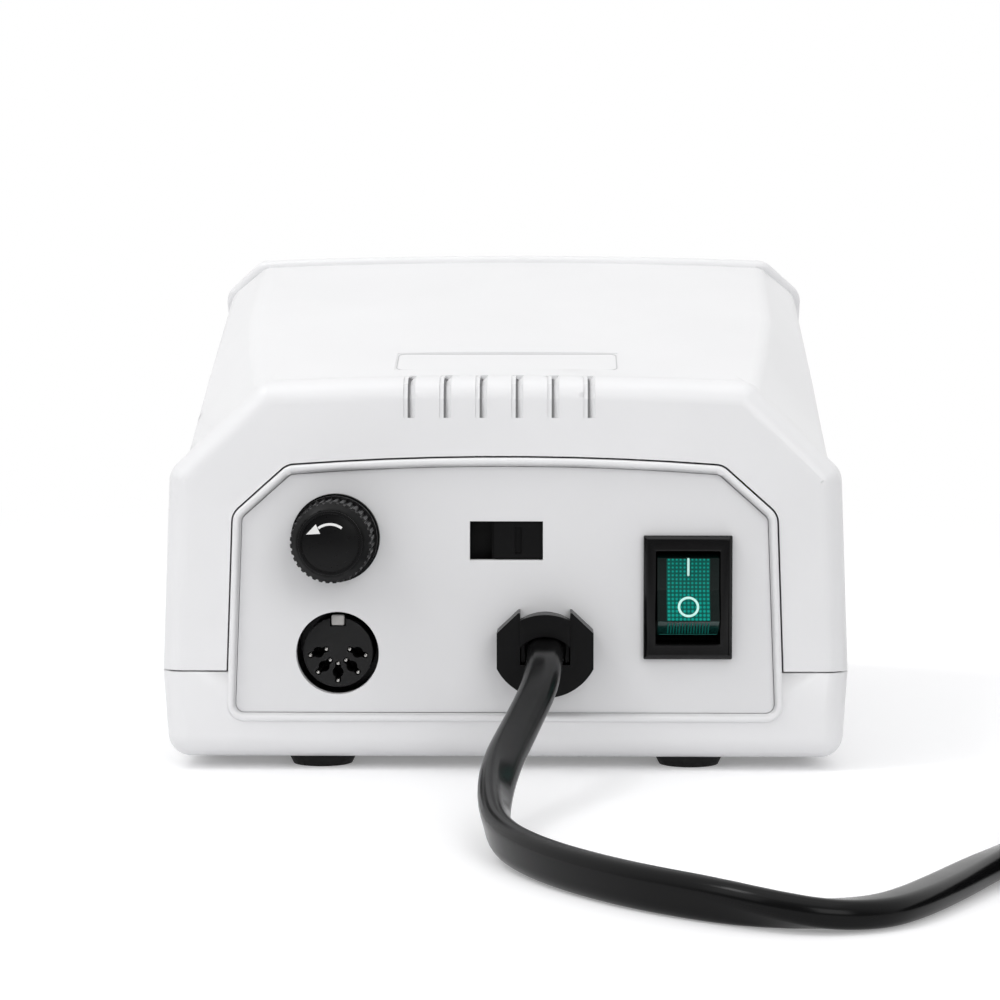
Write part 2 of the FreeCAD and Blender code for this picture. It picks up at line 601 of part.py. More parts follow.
def bevelled(name, base, width, test):
    """Bevels the edges of base that pass the test."""
    doc.recompute()
    item = doc.addObject("Part::Chamfer", name)
    item.Base = base
    width = size(width).value
    edges = enumerate(base.Shape.Edges, start=1)
    item.Edges = [(number, width, width) for number, edge in edges if test(edge)]
    if not item.Edges:
        raise ValueError(f"{name}: no edge to bevel")
    return item


def ends_of(edge):
    return [vertex.Point for vertex in edge.Vertexes]


def lies_at(axis, place):
    """Tests whether the whole edge lies at one place on an axis."""
    place = size(place).value

    def test(edge):
        box = edge.BoundBox
        low = getattr(box, f"{axis.upper()}Min")
        high = getattr(box, f"{axis.upper()}Max")
        return abs(low - place) < 0.02 and abs(high - place) < 0.02

    return test


def runs_along(axis):
    """Tests whether an edge is a straight line along an axis."""

    def test(edge):
        if len(edge.Vertexes) != 2 or not isinstance(edge.Curve, Part.Line):
            return False
        first, last = ends_of(edge)
        return abs(abs(getattr((last - first).normalize(), axis)) - 1) < 1e-4

    return test


def depth(forward):
    """The Y of a depth that is measured forward from the rear face."""
    return (S.cap_reach - S.case_depth) / 2 + forward


def arch(foot_half, foot, shoulder_half, shoulder, corner_half, corner, crown, inset=0):
    """The corners of an arch with bevelled shoulders and a crowned top, shrunk by inset."""
    inset = size(inset)
    across = shoulder_half - corner_half
    up = corner - shoulder
    low = half_turn_share(across, up)
    high = half_turn_share(up, across)
    foot_half = size(foot_half) - inset
    shoulder_half = shoulder_half - inset
    shoulder = shoulder - inset * low
    corner_half = corner_half - inset * high
    corner = corner - inset
    return [
        (-foot_half, foot),
        (foot_half, foot),
        (shoulder_half, shoulder),
        (corner_half, corner, crown),
        (-corner_half, corner),
        (-shoulder_half, shoulder),
    ]


def around(middle, width):
    """The two places half a width to each side of a middle."""
    return (middle - size(width) / 2, middle + size(width) / 2)


SEAM_TOP = S.seam_height + S.seam_gap / 2
SEAM_BOTTOM = S.seam_height - S.seam_gap / 2
CASE_HALF = S.case_width / 2
INNER_FLOOR = S.case_floor + S.wall
WAIST_FOOT_HALF = CASE_HALF - S.waist_step
WAIST_FRONT_DEPTH = S.slope_top_depth - S.arch_depth
BOSS_SIDE = WAIST_FOOT_HALF - S.wall - S.boss_wall_gap - S.boss_radius
BOARD_X = S.board_width / 2 + S.board_boss_gap + S.boss_radius - BOSS_SIDE
BOARD_DEPTH = S.slope_foot_depth - S.board_gap - S.board_length / 2
SINK_Y = S.board_length / 2 - S.sink_gap
CAN_Y = SINK_Y - S.can_gap
PANEL_FACE = depth(S.panel_sink)
PANEL_BACK = PANEL_FACE + S.panel_thickness
BOARD_TOP = S.board_height + S.board_thickness
CORD_IN_RELIEF = (S.cord_exit_x - S.relief_x, S.cord_exit_z - S.relief_z)
SLOPE_RUN = S.slope_foot_depth - S.slope_top_depth
SLOPE_RISE = S.arch_corner - S.seam_height
SLOPE_LENGTH = root(SLOPE_RUN * SLOPE_RUN + SLOPE_RISE * SLOPE_RISE)


def slope_depth(height, behind=0):
    """The Y of the control slope at a height, or of a plane that lies behind it."""
    share = (size(height) - S.seam_height) / SLOPE_RISE
    return depth(S.slope_foot_depth - SLOPE_RUN * share - behind)


def through_slope(thickness):
    """The distance along Y through a layer of the control slope of some thickness."""
    return size(thickness) * SLOPE_LENGTH / SLOPE_RISE


def flange_corners(inset=0):
    return arch(CASE_HALF, SEAM_TOP, CASE_HALF - S.flange_shoulder_in, S.flange_shoulder,
                CASE_HALF - S.flange_corner_in, S.flange_corner, S.flange_crown, inset)


def towards(corner, other, distance):
    """The place at some distance from a corner on the way to another."""
    across, up = other[0] - corner[0], other[1] - corner[1]
    share = size(distance) / root(across * across + up * up)
    return (corner[0] + across * share, corner[1] + up * share)


def softened(corners, cut, rise, picked):
    """Corners of an outline, the picked ones replaced by a short arc each."""
    result = []
    for i, corner in enumerate(corners):
        if i in picked:
            after = corners[(i + 1) % len(corners)]
            result.append((*towards(corner, corners[i - 1], cut), rise))
            result.append((*towards(corner, after, cut), *corner[2:]))
        else:
            result.append(corner)
    return result


def waist_corners(place, inset=0):
    """The waist's outline at one of its places along the case, with softened ridges."""
    shoulder_half = CASE_HALF - getattr(S, f"waist_{place}_shoulder_in")
    corner_half = CASE_HALF - getattr(S, f"waist_{place}_corner_in")
    corners = arch(WAIST_FOOT_HALF, SEAM_TOP, shoulder_half,
                   getattr(S, f"waist_{place}_shoulder"), corner_half,
                   getattr(S, f"waist_{place}_corner"), S.waist_crown, inset)
    return softened(corners, S.waist_round, S.waist_round_rise, (2, 3, 4, 5))


def arch_corners(inset=0):
    return arch(CASE_HALF, SEAM_TOP, CASE_HALF - S.arch_shoulder_in, S.arch_shoulder,
                CASE_HALF - S.arch_corner_in, S.arch_corner, S.arch_crown, inset)


def frame_corners(inset=0, foot=None):
    foot = S.frame_foot + inset if foot is None else foot
    return arch(S.frame_half, foot, S.frame_shoulder_half, S.frame_shoulder,
                S.frame_corner_half, S.frame_corner, S.frame_crown, inset)


def behind_slope(name, behind=0):
    """Everything behind the control slope, or behind a plane parallel to it."""
    low = size(0)
    high = S.arch_corner + 20
    corners = [
        (depth(-30), low),
        (slope_depth(low, behind), low),
        (slope_depth(high, behind), high),
        (depth(-30), high),
    ]
    return slab(name, "YZ", (-CASE_HALF - 5, CASE_HALF + 5), corners)


def layer(name, front, back, corners, start):
    """The part of a block along the case between two planes parallel to the slope."""
    whole = slab(f"{name} block", "XZ", (depth(start), depth(S.case_depth + 10)), corners)
    ahead = common(f"{name} behind its face", whole, behind_slope(f"{name} face", front))
    return cut(name, ahead, behind_slope(f"{name} back", back))


def on_rim(plane_depth):
    """Tests for the edges on an outline at one depth, but not those on the seam."""
    flat = lies_at("z", SEAM_TOP)
    there = lies_at("y", plane_depth)
    return lambda edge: there(edge) and not flat(edge)


def in_slope(behind):
    """Tests for the edges that lie in a plane parallel to the slope, above the seam."""

    def test(edge):
        for point in ends_of(edge):
            if abs(point.y - slope_depth(point.z, behind).value) > 0.02:
                return False
        return edge.BoundBox.ZMax > SEAM_TOP.value + 1

    return test


def ridges(shoulder):
    """Tests for the straight edges along the case at its shoulders and above."""
    along = runs_along("y")
    low = size(shoulder).value - 1
    return lambda edge: along(edge) and ends_of(edge)[0].z > low


def frame_block(name, span, inset, foot=None):
    """A block of the rear frame's outline, shrunk by inset, with rounded corners."""
    plain = slab(f"{name} block", "XZ", span, frame_corners(size(inset), foot))
    radius = S.frame_round - inset
    return rounded(name, plain, (radius, runs_along("y")))


def rear_flange():
    block = slab("flange block", "XZ", (depth(0), depth(S.flange_depth)), flange_corners())
    return rounded("flange", block, (S.edge_round, on_rim(depth(0))),
                   (S.soft_round, on_rim(depth(S.flange_depth))),
                   (S.edge_round, ridges(S.flange_shoulder)))


def front_arch():
    band = layer("arch band", 0, S.arch_depth, arch_corners(), S.slope_top_depth - 40)
    return rounded("front arch", band, (S.soft_round, in_slope(0)),
                   (S.soft_round, in_slope(S.arch_depth)), (S.edge_round, ridges(S.arch_shoulder)))


def waist(name, inset, start):
    """The sloping waist between the flange and the control slope."""
    sides = loft(f"{name} sides", "XZ", [
        (depth(start), waist_corners("back", inset)),
        (depth(S.waist_swell_depth), waist_corners("swell", inset)),
        (depth(S.waist_belly_depth), waist_corners("belly", inset)),
        (depth(WAIST_FRONT_DEPTH), waist_corners("front", inset)),
    ])
    front = slab(f"{name} front", "XZ", (depth(WAIST_FRONT_DEPTH), depth(S.case_depth)),
                 waist_corners("front", inset))
    return fuse(f"{name} body", sides, front)


def grooves():
    """A row of grooves that run down the rear face and forward along the top."""
    top = S.flange_corner + S.flange_crown
    bend = S.edge_round - S.groove_sink
    profile = [
        (depth(-2), top - S.groove_drop),
        (depth(S.groove_sink), top - S.groove_drop),
        (depth(S.groove_sink), top - S.edge_round),
        (depth(S.groove_sink + bend * 0.3), top - S.groove_sink - bend * 0.3),
        (depth(S.edge_round), top - S.groove_sink),
        (depth(S.groove_run), top - S.groove_sink),
        (depth(S.groove_run), top + 3),
        (depth(-2), top + 3),
    ]
    items = []
    for i in range(int(S.groove_count.value)):
        middle = S.groove_shift + (i - (S.groove_count - 1) / 2) * S.groove_pitch
        items.append(slab("groove", "YZ", around(middle, S.groove_width), profile))
    return items


def name_recess():
    """A shallow bare recess in the sloping top, just ahead of the flange."""
    run = S.waist_swell_depth - S.flange_depth / 2
    rise = S.waist_swell_corner - S.waist_back_corner

    def top(forward):
        share = (forward - S.flange_depth / 2) / run
        return S.waist_back_corner + S.waist_crown + rise * share

    start = S.name_recess_start
    end = start + S.name_recess_length
    profile = [
        (depth(start), top(start) - S.name_recess_sink),
        (depth(end), top(end) - S.name_recess_sink),
        (depth(end), top(end) + 3),
        (depth(start), top(start) + 3),
    ]
    return slab("name recess", "YZ", around(size(0), S.name_recess_width), profile)


def at_screws(name, span, radius):
    """One upright rod at each of the four case screws."""
    rods = []
    for forward in (S.boss_back_depth, S.boss_front_depth):
        for side in (-BOSS_SIDE, BOSS_SIDE):
            rods.append(rod(name, "Z", span, (side, depth(forward)), radius))
    return rods


def make_top_cover():
    outer = common("waist", waist("waist", 0, S.flange_depth / 2),
                   behind_slope("control slope"))
    outside = fuse("cover outside", rear_flange(), outer, front_arch())
    cavity = waist("cavity", S.wall, S.wall)
    below = block("below the seam", (-CASE_HALF, CASE_HALF),
                  (depth(-5), depth(S.case_depth + 5)), (SEAM_TOP - 8, SEAM_TOP))
    plate_room = layer("plate room", -20, through_slope(S.plate_sink + S.plate_thickness),
                       arch_corners(S.plate_rim), S.slope_top_depth - S.plate_reach)
    rear_opening = frame_block("rear opening", (depth(-5), depth(S.wall + 2)),
                               -S.fit * 2, SEAM_TOP - 8)
    notch = taper("handpiece notch", "Y", (depth(S.flange_depth + 0.2), depth(S.notch_end)),
                  (-CASE_HALF - S.notch_out, S.notch_height),
                  (S.notch_radius, S.notch_end_radius))
    shell = cut("cover shell", outside, cavity, below, rear_opening, plate_room,
                name_recess(), notch, *grooves())
    posts = at_screws("upper post", (S.boss_meet + S.seam_gap, S.arch_corner), S.boss_radius)
    inside = common("upper posts", fuse("upper post rods", *posts),
                    waist("post room", S.wall / 2, S.wall / 2))
    holes = at_screws("upper post hole", (S.boss_meet, S.screw_seat + S.screw_length + 1),
                      S.screw_radius)
    sub_part("top_cover", cut("top cover", fuse("cover with posts", shell, inside), *holes))


def tub(name, inset, over=0):
    """The tub's block, shrunk by inset, from its floor to the seam or some way over it."""
    inset = size(inset)
    over = size(over)
    floor = S.case_floor + inset
    back = depth(inset)
    toe = depth(S.case_depth) - inset
    brow = slope_depth(SEAM_BOTTOM) - inset
    side_view = slab(f"{name} side", "YZ", (-CASE_HALF - 1, CASE_HALF + 1), [
        (back, floor),
        (toe, floor),
        (toe, S.seam_height / 2),
        (brow, SEAM_BOTTOM + over),
        (back, SEAM_BOTTOM + over),
    ])
    low_half = CASE_HALF - S.tub_taper - inset
    high_half = CASE_HALF - inset
    rear_view = slab(f"{name} rear", "XZ", (depth(-1), depth(S.case_depth + 1)), [
        (-low_half, floor),
        (low_half, floor),
        (high_half, SEAM_BOTTOM + over),
        (-high_half, SEAM_BOTTOM + over),
    ])
    return common(f"{name} block", side_view, rear_view)


def upright_at(plane_depth):
    """Tests for the tub's nearly upright edges at one depth."""
    there = lies_at("y", plane_depth)

    def test(edge):
        box = edge.BoundBox
        return there(edge) and box.ZLength > 2 and box.XLength < S.tub_taper.value + 0.1

    return test


def toe_edges(inset):
    """Tests for the upright edges at the toe, the sloping ones above them included."""
    far = depth(S.case_depth).value - size(inset).value - 4

    def test(edge):
        box = edge.BoundBox
        return box.YMin > far and box.ZLength > 2 and box.XLength < 5

    return test


def make_bottom_cover():
    outer = rounded("tub", tub("tub outside", 0),
                    (S.edge_round, upright_at(depth(0))), (S.toe_round, toe_edges(0)),
                    (S.edge_round, lies_at("z", S.case_floor)))
    room = rounded("tub room", tub("tub inside", S.wall, 3),
                   (S.toe_round - S.wall, toe_edges(S.wall)))
    frame_back = PANEL_BACK + S.ledge_thickness
    frame = frame_block("frame", (depth(0), frame_back), 0)
    bead = rounded("bead", frame_block("bead block", (depth(-S.bead_proud), depth(0.5)), 0),
                   (S.bead_width * 0.4, lies_at("y", depth(-S.bead_proud))))
    pocket = frame_block("panel pocket", (depth(-5), PANEL_BACK), S.bead_width)
    opening = slab("panel opening", "XZ", (depth(-5), frame_back + 1),
                   frame_corners(S.bead_width + S.ledge_width))
    posts = at_screws("lower post", (S.case_floor + 1, S.boss_meet), S.boss_radius)
    heads = at_screws("screw well", (0, S.screw_seat), S.screw_head_radius + S.fit)
    holes = at_screws("lower post hole", (0, S.boss_meet + 1), S.screw_radius + S.fit)
    stems = at_feet("foot hole", (0, INNER_FLOOR + 1), S.foot_stem_radius + S.running_fit)
    board_posts = at_board_screws("board post", (S.case_floor + 1, S.board_height), 3)
    board_holes = at_board_screws("board post hole", (INNER_FLOOR + 1, S.board_height + 1),
                                  S.small_screw_radius + S.running_fit)
    pads = strap_pads("strap pad", (S.case_floor + 1, INNER_FLOOR + S.core_lift))
    pad_holes = at_strap_feet("strap pad hole", (INNER_FLOOR, INNER_FLOOR + S.core_lift + 1),
                              S.strap_screw_radius + S.running_fit)
    shell = cut("tub shell", outer, room)
    whole = fuse("tub with posts", shell, frame, bead, *posts, *board_posts, *pads)
    sub_part("bottom_cover", cut("bottom cover", whole, pocket, opening, *heads, *holes,
                                 *stems, *board_holes, *pad_holes))


def at_feet(name, span, radius):
    """One upright rod at each of the four feet."""
    rods = []
    for forward in (S.foot_back_depth, S.foot_front_depth):
        for side in (-S.foot_side, S.foot_side):
            rods.append(rod(name, "Z", span, (side, depth(forward)), radius))
    return rods


def at_board_screws(name, span, radius):
    """One upright rod at each corner of the circuit board."""
    rods = []
    across = S.board_width / 2 - S.board_hole_inset
    along = S.board_length / 2 - S.board_hole_inset
    for y in (-along, along):
        for x in (-across, across):
            centre = (BOARD_X + x, depth(BOARD_DEPTH) + y)
            rods.append(rod(name, "Z", span, centre, radius))
    return rods


def strap_foot_y(side):
    """The middle of a foot of the transformer's strap."""
    reach = S.core_length / 2 + S.strap_thickness + S.strap_foot / 2
    return depth(S.core_depth) + reach * side


def strap_pads(name, span):
    """The two raised pads that the transformer's strap is screwed to."""
    x = around(S.core_x, S.strap_width)
    return [block(name, x, around(strap_foot_y(side), S.strap_foot), span) for side in (-1, 1)]


def at_strap_feet(name, span, radius):
    return [rod(name, "Z", span, (S.core_x, strap_foot_y(side)), radius) for side in (-1, 1)]


def make_feet():
    """Four pushed-in rubber feet, each with a barbed stem."""
    tops = (S.case_floor, INNER_FLOOR)
    barb_top = INNER_FLOOR + S.foot_stem_radius
    feet = []
    for forward in (S.foot_back_depth, S.foot_front_depth):
        for side in (-S.foot_side, S.foot_side):
            centre = (side, depth(forward))
            feet.append(fuse(
                "foot",
                taper("foot pad", "Z", (0, S.case_floor), centre,
                      (S.foot_radius - S.foot_taper, S.foot_radius)),
                rod("foot stem", "Z", (tops[0] - 0.5, tops[1] + 0.5), centre,
                    S.foot_stem_radius),
                taper("foot barb", "Z", (tops[1] + S.running_fit, barb_top), centre,
                      (S.foot_barb_radius, S.foot_stem_radius / 2)),
            ))
    sub_part("rubber_feet", group("feet", feet))


def make_case_screws():
    """Four long screws that go up from below and hold the two covers together."""
    head_top = S.screw_seat
    head_bottom = head_top - S.screw_head_height
    heads = at_screws("case screw head", (head_bottom, head_top), S.screw_head_radius)
    shanks = at_screws("case screw shank", (head_top - 1, head_top + S.screw_length),
                       S.screw_radius - S.running_fit)
    recesses = at_screws("case screw recess", (head_bottom - 1, head_bottom + 1.2),
                         S.screw_head_radius / 2)
    screws = [
        cut("case screw", fuse("case screw blank", head, shank), recess)
        for head, shank, recess in zip(heads, shanks, recesses)
    ]
    sub_part("case_screws", group("screws", screws))


def local_frame(node, item, base, rotation):
    """Moves an item, drawn facing +Z about the origin, to its place on the case."""
    holder = doc.addObject("Part::Compound", node)
    holder.Links = [item]
    holder.Placement = FreeCAD.Placement(Vector(), rotation)
    for axis, place in zip("xyz", base):
        bind(holder, f"Placement.Base.{axis}", place)
    return holder


def on_back(node, item, x, z):
    """Puts an item on the rear panel's face, looking backwards."""
    return local_frame(node, item, (x, PANEL_FACE, z), Rotation(Vector(1, 0, 0), 90))


def on_slope(node, item, across, up):
    """Puts an item on the control panel's face; across counts to the user's right."""
    middle = (S.seam_height + S.arch_corner) / 2
    sine_part = SLOPE_RUN / SLOPE_LENGTH
    cosine_part = SLOPE_RISE / SLOPE_LENGTH
    y = slope_depth(middle) - cosine_part * S.plate_sink - sine_part * up
    z = middle - sine_part * S.plate_sink + cosine_part * up
    up_slope = Vector(0, -sine_part.value, cosine_part.value)
    outward = Vector(0, cosine_part.value, sine_part.value)
    turn = Rotation(Vector(-1, 0, 0), up_slope, outward, "ZXY")
    return local_frame(node, item, (-across, y, z), turn)


def upright_block(name, half_x, half_y, z):
    """A box about the local Z axis."""
    return block(name, (-half_x, half_x), (-half_y, half_y), z)


def bar(centre, angle, reach, width):
    """The corners of a bar that lies at an angle about a centre, between two radii."""
    along = (cosine(angle), sine(angle))
    half = size(width) / 2
    corners = []
    for radius, side in ((reach[0], -half), (reach[1], -half), (reach[1], half),
                         (reach[0], half)):
        corners.append((
            centre[0] + along[0] * radius - along[1] * side,
            centre[1] + along[1] * radius + along[0] * side,
        ))
    return corners


def hexagon(flats):
    """The corners of a hexagonal nut."""
    reach = size(flats) / 2 / cosine(30)
    return [(reach * cosine(30 + 60 * i), reach * sine(30 + 60 * i)) for i in range(6)]


def nut(name, z, flats, bore):
    blank = slab(f"{name} blank", "XY", z, hexagon(flats))
    return cut(name, blank, rod(f"{name} bore", "Z", (z[0] - 1, z[1] + 1), (0, 0), bore))


def ring(name, z, radius, bore):
    return cut(name, rod(f"{name} blank", "Z", z, (0, 0), radius),
               rod(f"{name} bore", "Z", (z[0] - 1, z[1] + 1), (0, 0), bore))


def fixing_places():
    """Where small bosses on the rear panel hold what is screwed to it."""
    pedal_side = S.pedal_flange_width / 2 - S.fixing_inset
    selector_side = S.selector_ear_width / 2 - S.fixing_inset
    return [
        (S.pedal_x - pedal_side, S.pedal_z),
        (S.pedal_x + pedal_side, S.pedal_z),
        (S.selector_x - selector_side, S.selector_z),
        (S.selector_x + selector_side, S.selector_z),
    ]


def make_rear_panel():
    plate = frame_block("panel plate", (PANEL_FACE, PANEL_BACK), S.bead_width + S.fit)
    through = (PANEL_FACE - 1, PANEL_BACK + 1)
    bosses = [rod("panel boss", "Y", (PANEL_BACK - 0.5, PANEL_BACK + S.pedal_flange),
                  place, S.fixing_radius) for place in fixing_places()]
    screws = [rod("boss hole", "Y", (PANEL_FACE + S.fixing_skin, PANEL_BACK + 5), place,
                  S.small_screw_radius) for place in fixing_places()]
    window = block("selector window", around(S.selector_x, S.selector_window_width), through,
                   around(S.selector_z, S.selector_window_height))
    switch = block("switch cut-out",
                   around(S.switch_x, S.switch_width - (S.bezel_lap - S.fit) * 2), through,
                   around(S.switch_z, S.switch_height - (S.bezel_lap - S.fit) * 2))
    holes = [
        rod("fuse hole", "Y", through, (S.fuse_x, S.fuse_z), S.fuse_barrel_radius + S.fit),
        rod("pedal hole", "Y", through, (S.pedal_x, S.pedal_z), S.pedal_hole_radius),
        rod("cord hole", "Y", through, (S.relief_x, S.relief_z), S.relief_neck_radius + S.fit),
    ]
    sub_part("rear_panel", cut("panel", fuse("panel with bosses", plate, *bosses),
                               window, switch, *holes, *screws))


def make_panel_screws():
    """The small screws that hold the pedal socket and the selector from inside."""
    head = PANEL_BACK + S.pedal_flange
    screws = []
    for x, z in fixing_places():
        screws.append(fuse(
            "panel screw",
            rod("panel screw shank", "Y", (PANEL_FACE + S.fixing_skin + 0.3, head + 0.5), (x, z),
                S.small_screw_radius - S.running_fit),
            rod("panel screw head", "Y", (head, head + S.small_screw_head), (x, z),
                S.fixing_radius + 0.8),
        ))
    sub_part("panel_screws", group("small screws", screws))


def make_fuse_holder():
    """The holder's body, its nut and tabs, and the cap with the fuse that it draws out."""
    x, z = S.fuse_x, S.fuse_z
    barrel_end = -S.fuse_barrel_length
    blank = fuse("fuse holder blank",
                 rod("fuse lip", "Z", (0, S.fuse_lip), (0, 0), S.fuse_lip_radius),
                 rod("fuse barrel", "Z", (barrel_end, 0.5), (0, 0), S.fuse_barrel_radius))
    bore = rod("fuse bore", "Z", (-S.fuse_bore_end, S.fuse_lip + 1), (0, 0), S.fuse_bore_radius)
    sub_part("fuse_holder_body", on_back("fuse holder", cut("fuse body", blank, bore), x, z))

    nut_top = -S.panel_thickness
    sub_part("fuse_holder_nut", on_back("fuse holder nut", nut(
        "fuse nut", (nut_top - S.fuse_nut_height, nut_top), S.fuse_nut_flats,
        S.fuse_barrel_radius + S.running_fit), x, z))

    end_tab = upright_block("fuse end tab", S.tab_width / 2, S.tab_thickness / 2,
                            (barrel_end - S.tab_length, barrel_end))
    side = S.fuse_barrel_radius
    side_tab = block("fuse side tab", (side, side + S.tab_thickness),
                     (-S.tab_width / 2, S.tab_width / 2),
                     (barrel_end - S.tab_length, barrel_end + S.tab_length))
    sub_part("fuse_terminals", on_back("fuse tabs", group("tabs", [end_tab, side_tab]), x, z))

    seat = S.fuse_lip + S.cap_gap
    skirt_end = seat + S.cap_skirt
    face = S.cap_reach + S.panel_sink
    knurl_end = face - S.cap_bevel
    blank = fuse(
        "cap blank",
        rod("cap skirt", "Z", (seat, skirt_end), (0, 0), S.cap_skirt_radius),
        rod("cap knurl", "Z", (skirt_end, knurl_end), (0, 0), S.cap_knurl_radius),
        taper("cap bevel", "Z", (knurl_end, face), (0, 0),
              (S.cap_knurl_radius, S.cap_face_radius)),
        rod("cap stem", "Z", (seat - S.cap_stem_length, seat), (0, 0), S.cap_stem_radius),
    )
    flutes = []
    count = int(S.cap_ridges.value)
    for i in range(count):
        angle = 360 / count * i
        centre = (S.cap_knurl_radius * cosine(angle), S.cap_knurl_radius * sine(angle))
        flutes.append(rod("cap flute", "Z", (skirt_end, face + 1), centre, S.cap_flute_radius))
    fuse_front = S.panel_sink - S.fuse_start
    pocket = rod("cap pocket", "Z", (seat - S.cap_stem_length - 1, fuse_front + S.fit), (0, 0),
                 S.fuse_radius + S.fit)
    sub_part("fuse_cap", on_back("cap", cut("fuse cap body", blank, pocket, *flutes), x, z))

    fuse_end = fuse_front - S.fuse_length
    glass = rod("glass", "Z", (fuse_end + S.fuse_end_length, fuse_front - S.fuse_end_length),
                (0, 0), S.fuse_radius - 0.2)
    sub_part("fuse_glass", on_back("fuse tube", glass, x, z))
    ends = [
        rod("fuse end", "Z", (fuse_end, fuse_end + S.fuse_end_length), (0, 0), S.fuse_radius),
        rod("fuse end", "Z", (fuse_front - S.fuse_end_length, fuse_front), (0, 0),
            S.fuse_radius),
    ]
    sub_part("fuse_end_caps", on_back("fuse ends", group("ends", ends), x, z))
    spring = ring("spring ring", (-S.fuse_bore_end, fuse_end - S.fit), S.fuse_radius,
                  S.fuse_radius - 0.8)
    sub_part("fuse_spring", on_back("spring", spring, x, z))


def make_pedal_socket():
    """A round five-way socket: metal shell, insulating insert and its contacts."""
    x, z = S.pedal_x, S.pedal_z
    top = -S.panel_thickness
    end = S.panel_sink - S.pedal_cup_end
    floor = end + S.pedal_floor
    cup = rod("pedal cup", "Z", (end, top), (0, 0), S.pedal_cup_radius)
    flange = upright_block("pedal flange", S.pedal_flange_width / 2, S.pedal_flange_height / 2,
                           (top - S.pedal_flange, top))
    inside = rod("pedal cup inside", "Z", (floor, top + 1), (0, 0), S.pedal_hole_radius + S.fit)
    side = S.pedal_flange_width / 2 - S.fixing_inset
    holes = [rod("flange hole", "Z", (top - S.pedal_flange - 1, top + 1), (place, 0),
                 S.fixing_radius + S.fit) for place in (-side, side)]
    pins = [rod("floor hole", "Z", (end - 1, floor + 1), centre,
                S.pedal_contact_radius + S.fit * 2) for centre in pedal_contacts()]
    shell = cut("pedal shell", fuse("pedal shell blank", cup, flange), inside, *holes, *pins)
    sub_part("pedal_socket_shell", on_back("pedal socket", shell, x, z))

    face = -S.pedal_insert_sink
    slot_floor = floor + S.pedal_floor
    body = rod("insert", "Z", (floor, face), (0, 0), S.pedal_insert_radius)
    slots = [slab("contact slot", "XY", (slot_floor, face + 1), bar(
        (0, 0), angle, contact_reach(S.fit), S.pedal_contact_radius * 2 + S.fit * 2))
        for angle in contact_angles()]
    shafts = [rod("contact hole", "Z", (floor - 1, slot_floor + 1), centre,
                  S.pedal_contact_radius + S.fit) for centre in pedal_contacts()]
    key = block("key notch", (-S.pedal_key_width / 2 - S.fit, S.pedal_key_width / 2 + S.fit),
                (S.pedal_insert_radius - S.pedal_key_height, S.pedal_insert_radius + 1),
                (floor + S.pedal_floor, face + 1))
    sub_part("pedal_socket_insert", on_back("pedal insert", cut(
        "insert body", body, key, *slots, *shafts), x, z))

    tip = face - S.fit * 2
    contacts = []
    for angle, centre in zip(contact_angles(), pedal_contacts()):
        low, high = contact_reach(-S.pedal_contact_radius)
        near = (cosine(angle) * low, sine(angle) * low)
        far = (cosine(angle) * high, sine(angle) * high)
        base = slab("contact base", "XY", (slot_floor + S.fit, slot_floor + S.pedal_floor), bar(
            (0, 0), angle, contact_reach(-S.fit), S.pedal_contact_radius * 1.6))
        contacts.append(fuse(
            "contact", base,
            rod("contact prong", "Z", (slot_floor + S.fit, tip), near, S.pedal_contact_radius),
            rod("contact prong", "Z", (slot_floor + S.fit, tip), far, S.pedal_contact_radius),
            rod("contact tail", "Z", (end - 3, slot_floor + S.pedal_floor), centre,
                S.pedal_contact_radius * 0.9),
        ))
    spring = block("key spring", (-S.pedal_key_width / 2, S.pedal_key_width / 2),
                   (S.pedal_insert_radius - S.pedal_key_height + S.fit,
                    S.pedal_hole_radius - S.fit),
                   (floor + S.pedal_floor + S.fit, face + S.fit))
    sub_part("pedal_socket_contacts", on_back("pedal contacts", group(
        "contacts", [*contacts, spring]), x, z))


def contact_angles():
    """The contacts fill the lower half of the socket, 45 degrees apart."""
    return [180, 225, 270, 315, 360]


def pedal_contacts():
    return [(S.pedal_contact_circle * cosine(angle), S.pedal_contact_circle * sine(angle))
            for angle in contact_angles()]


def contact_reach(margin):
    """The inner and outer ends of a contact's slot, with a margin added to each."""
    half = S.pedal_slot_length / 2 + margin
    return (S.pedal_contact_circle - half, S.pedal_contact_circle + half)


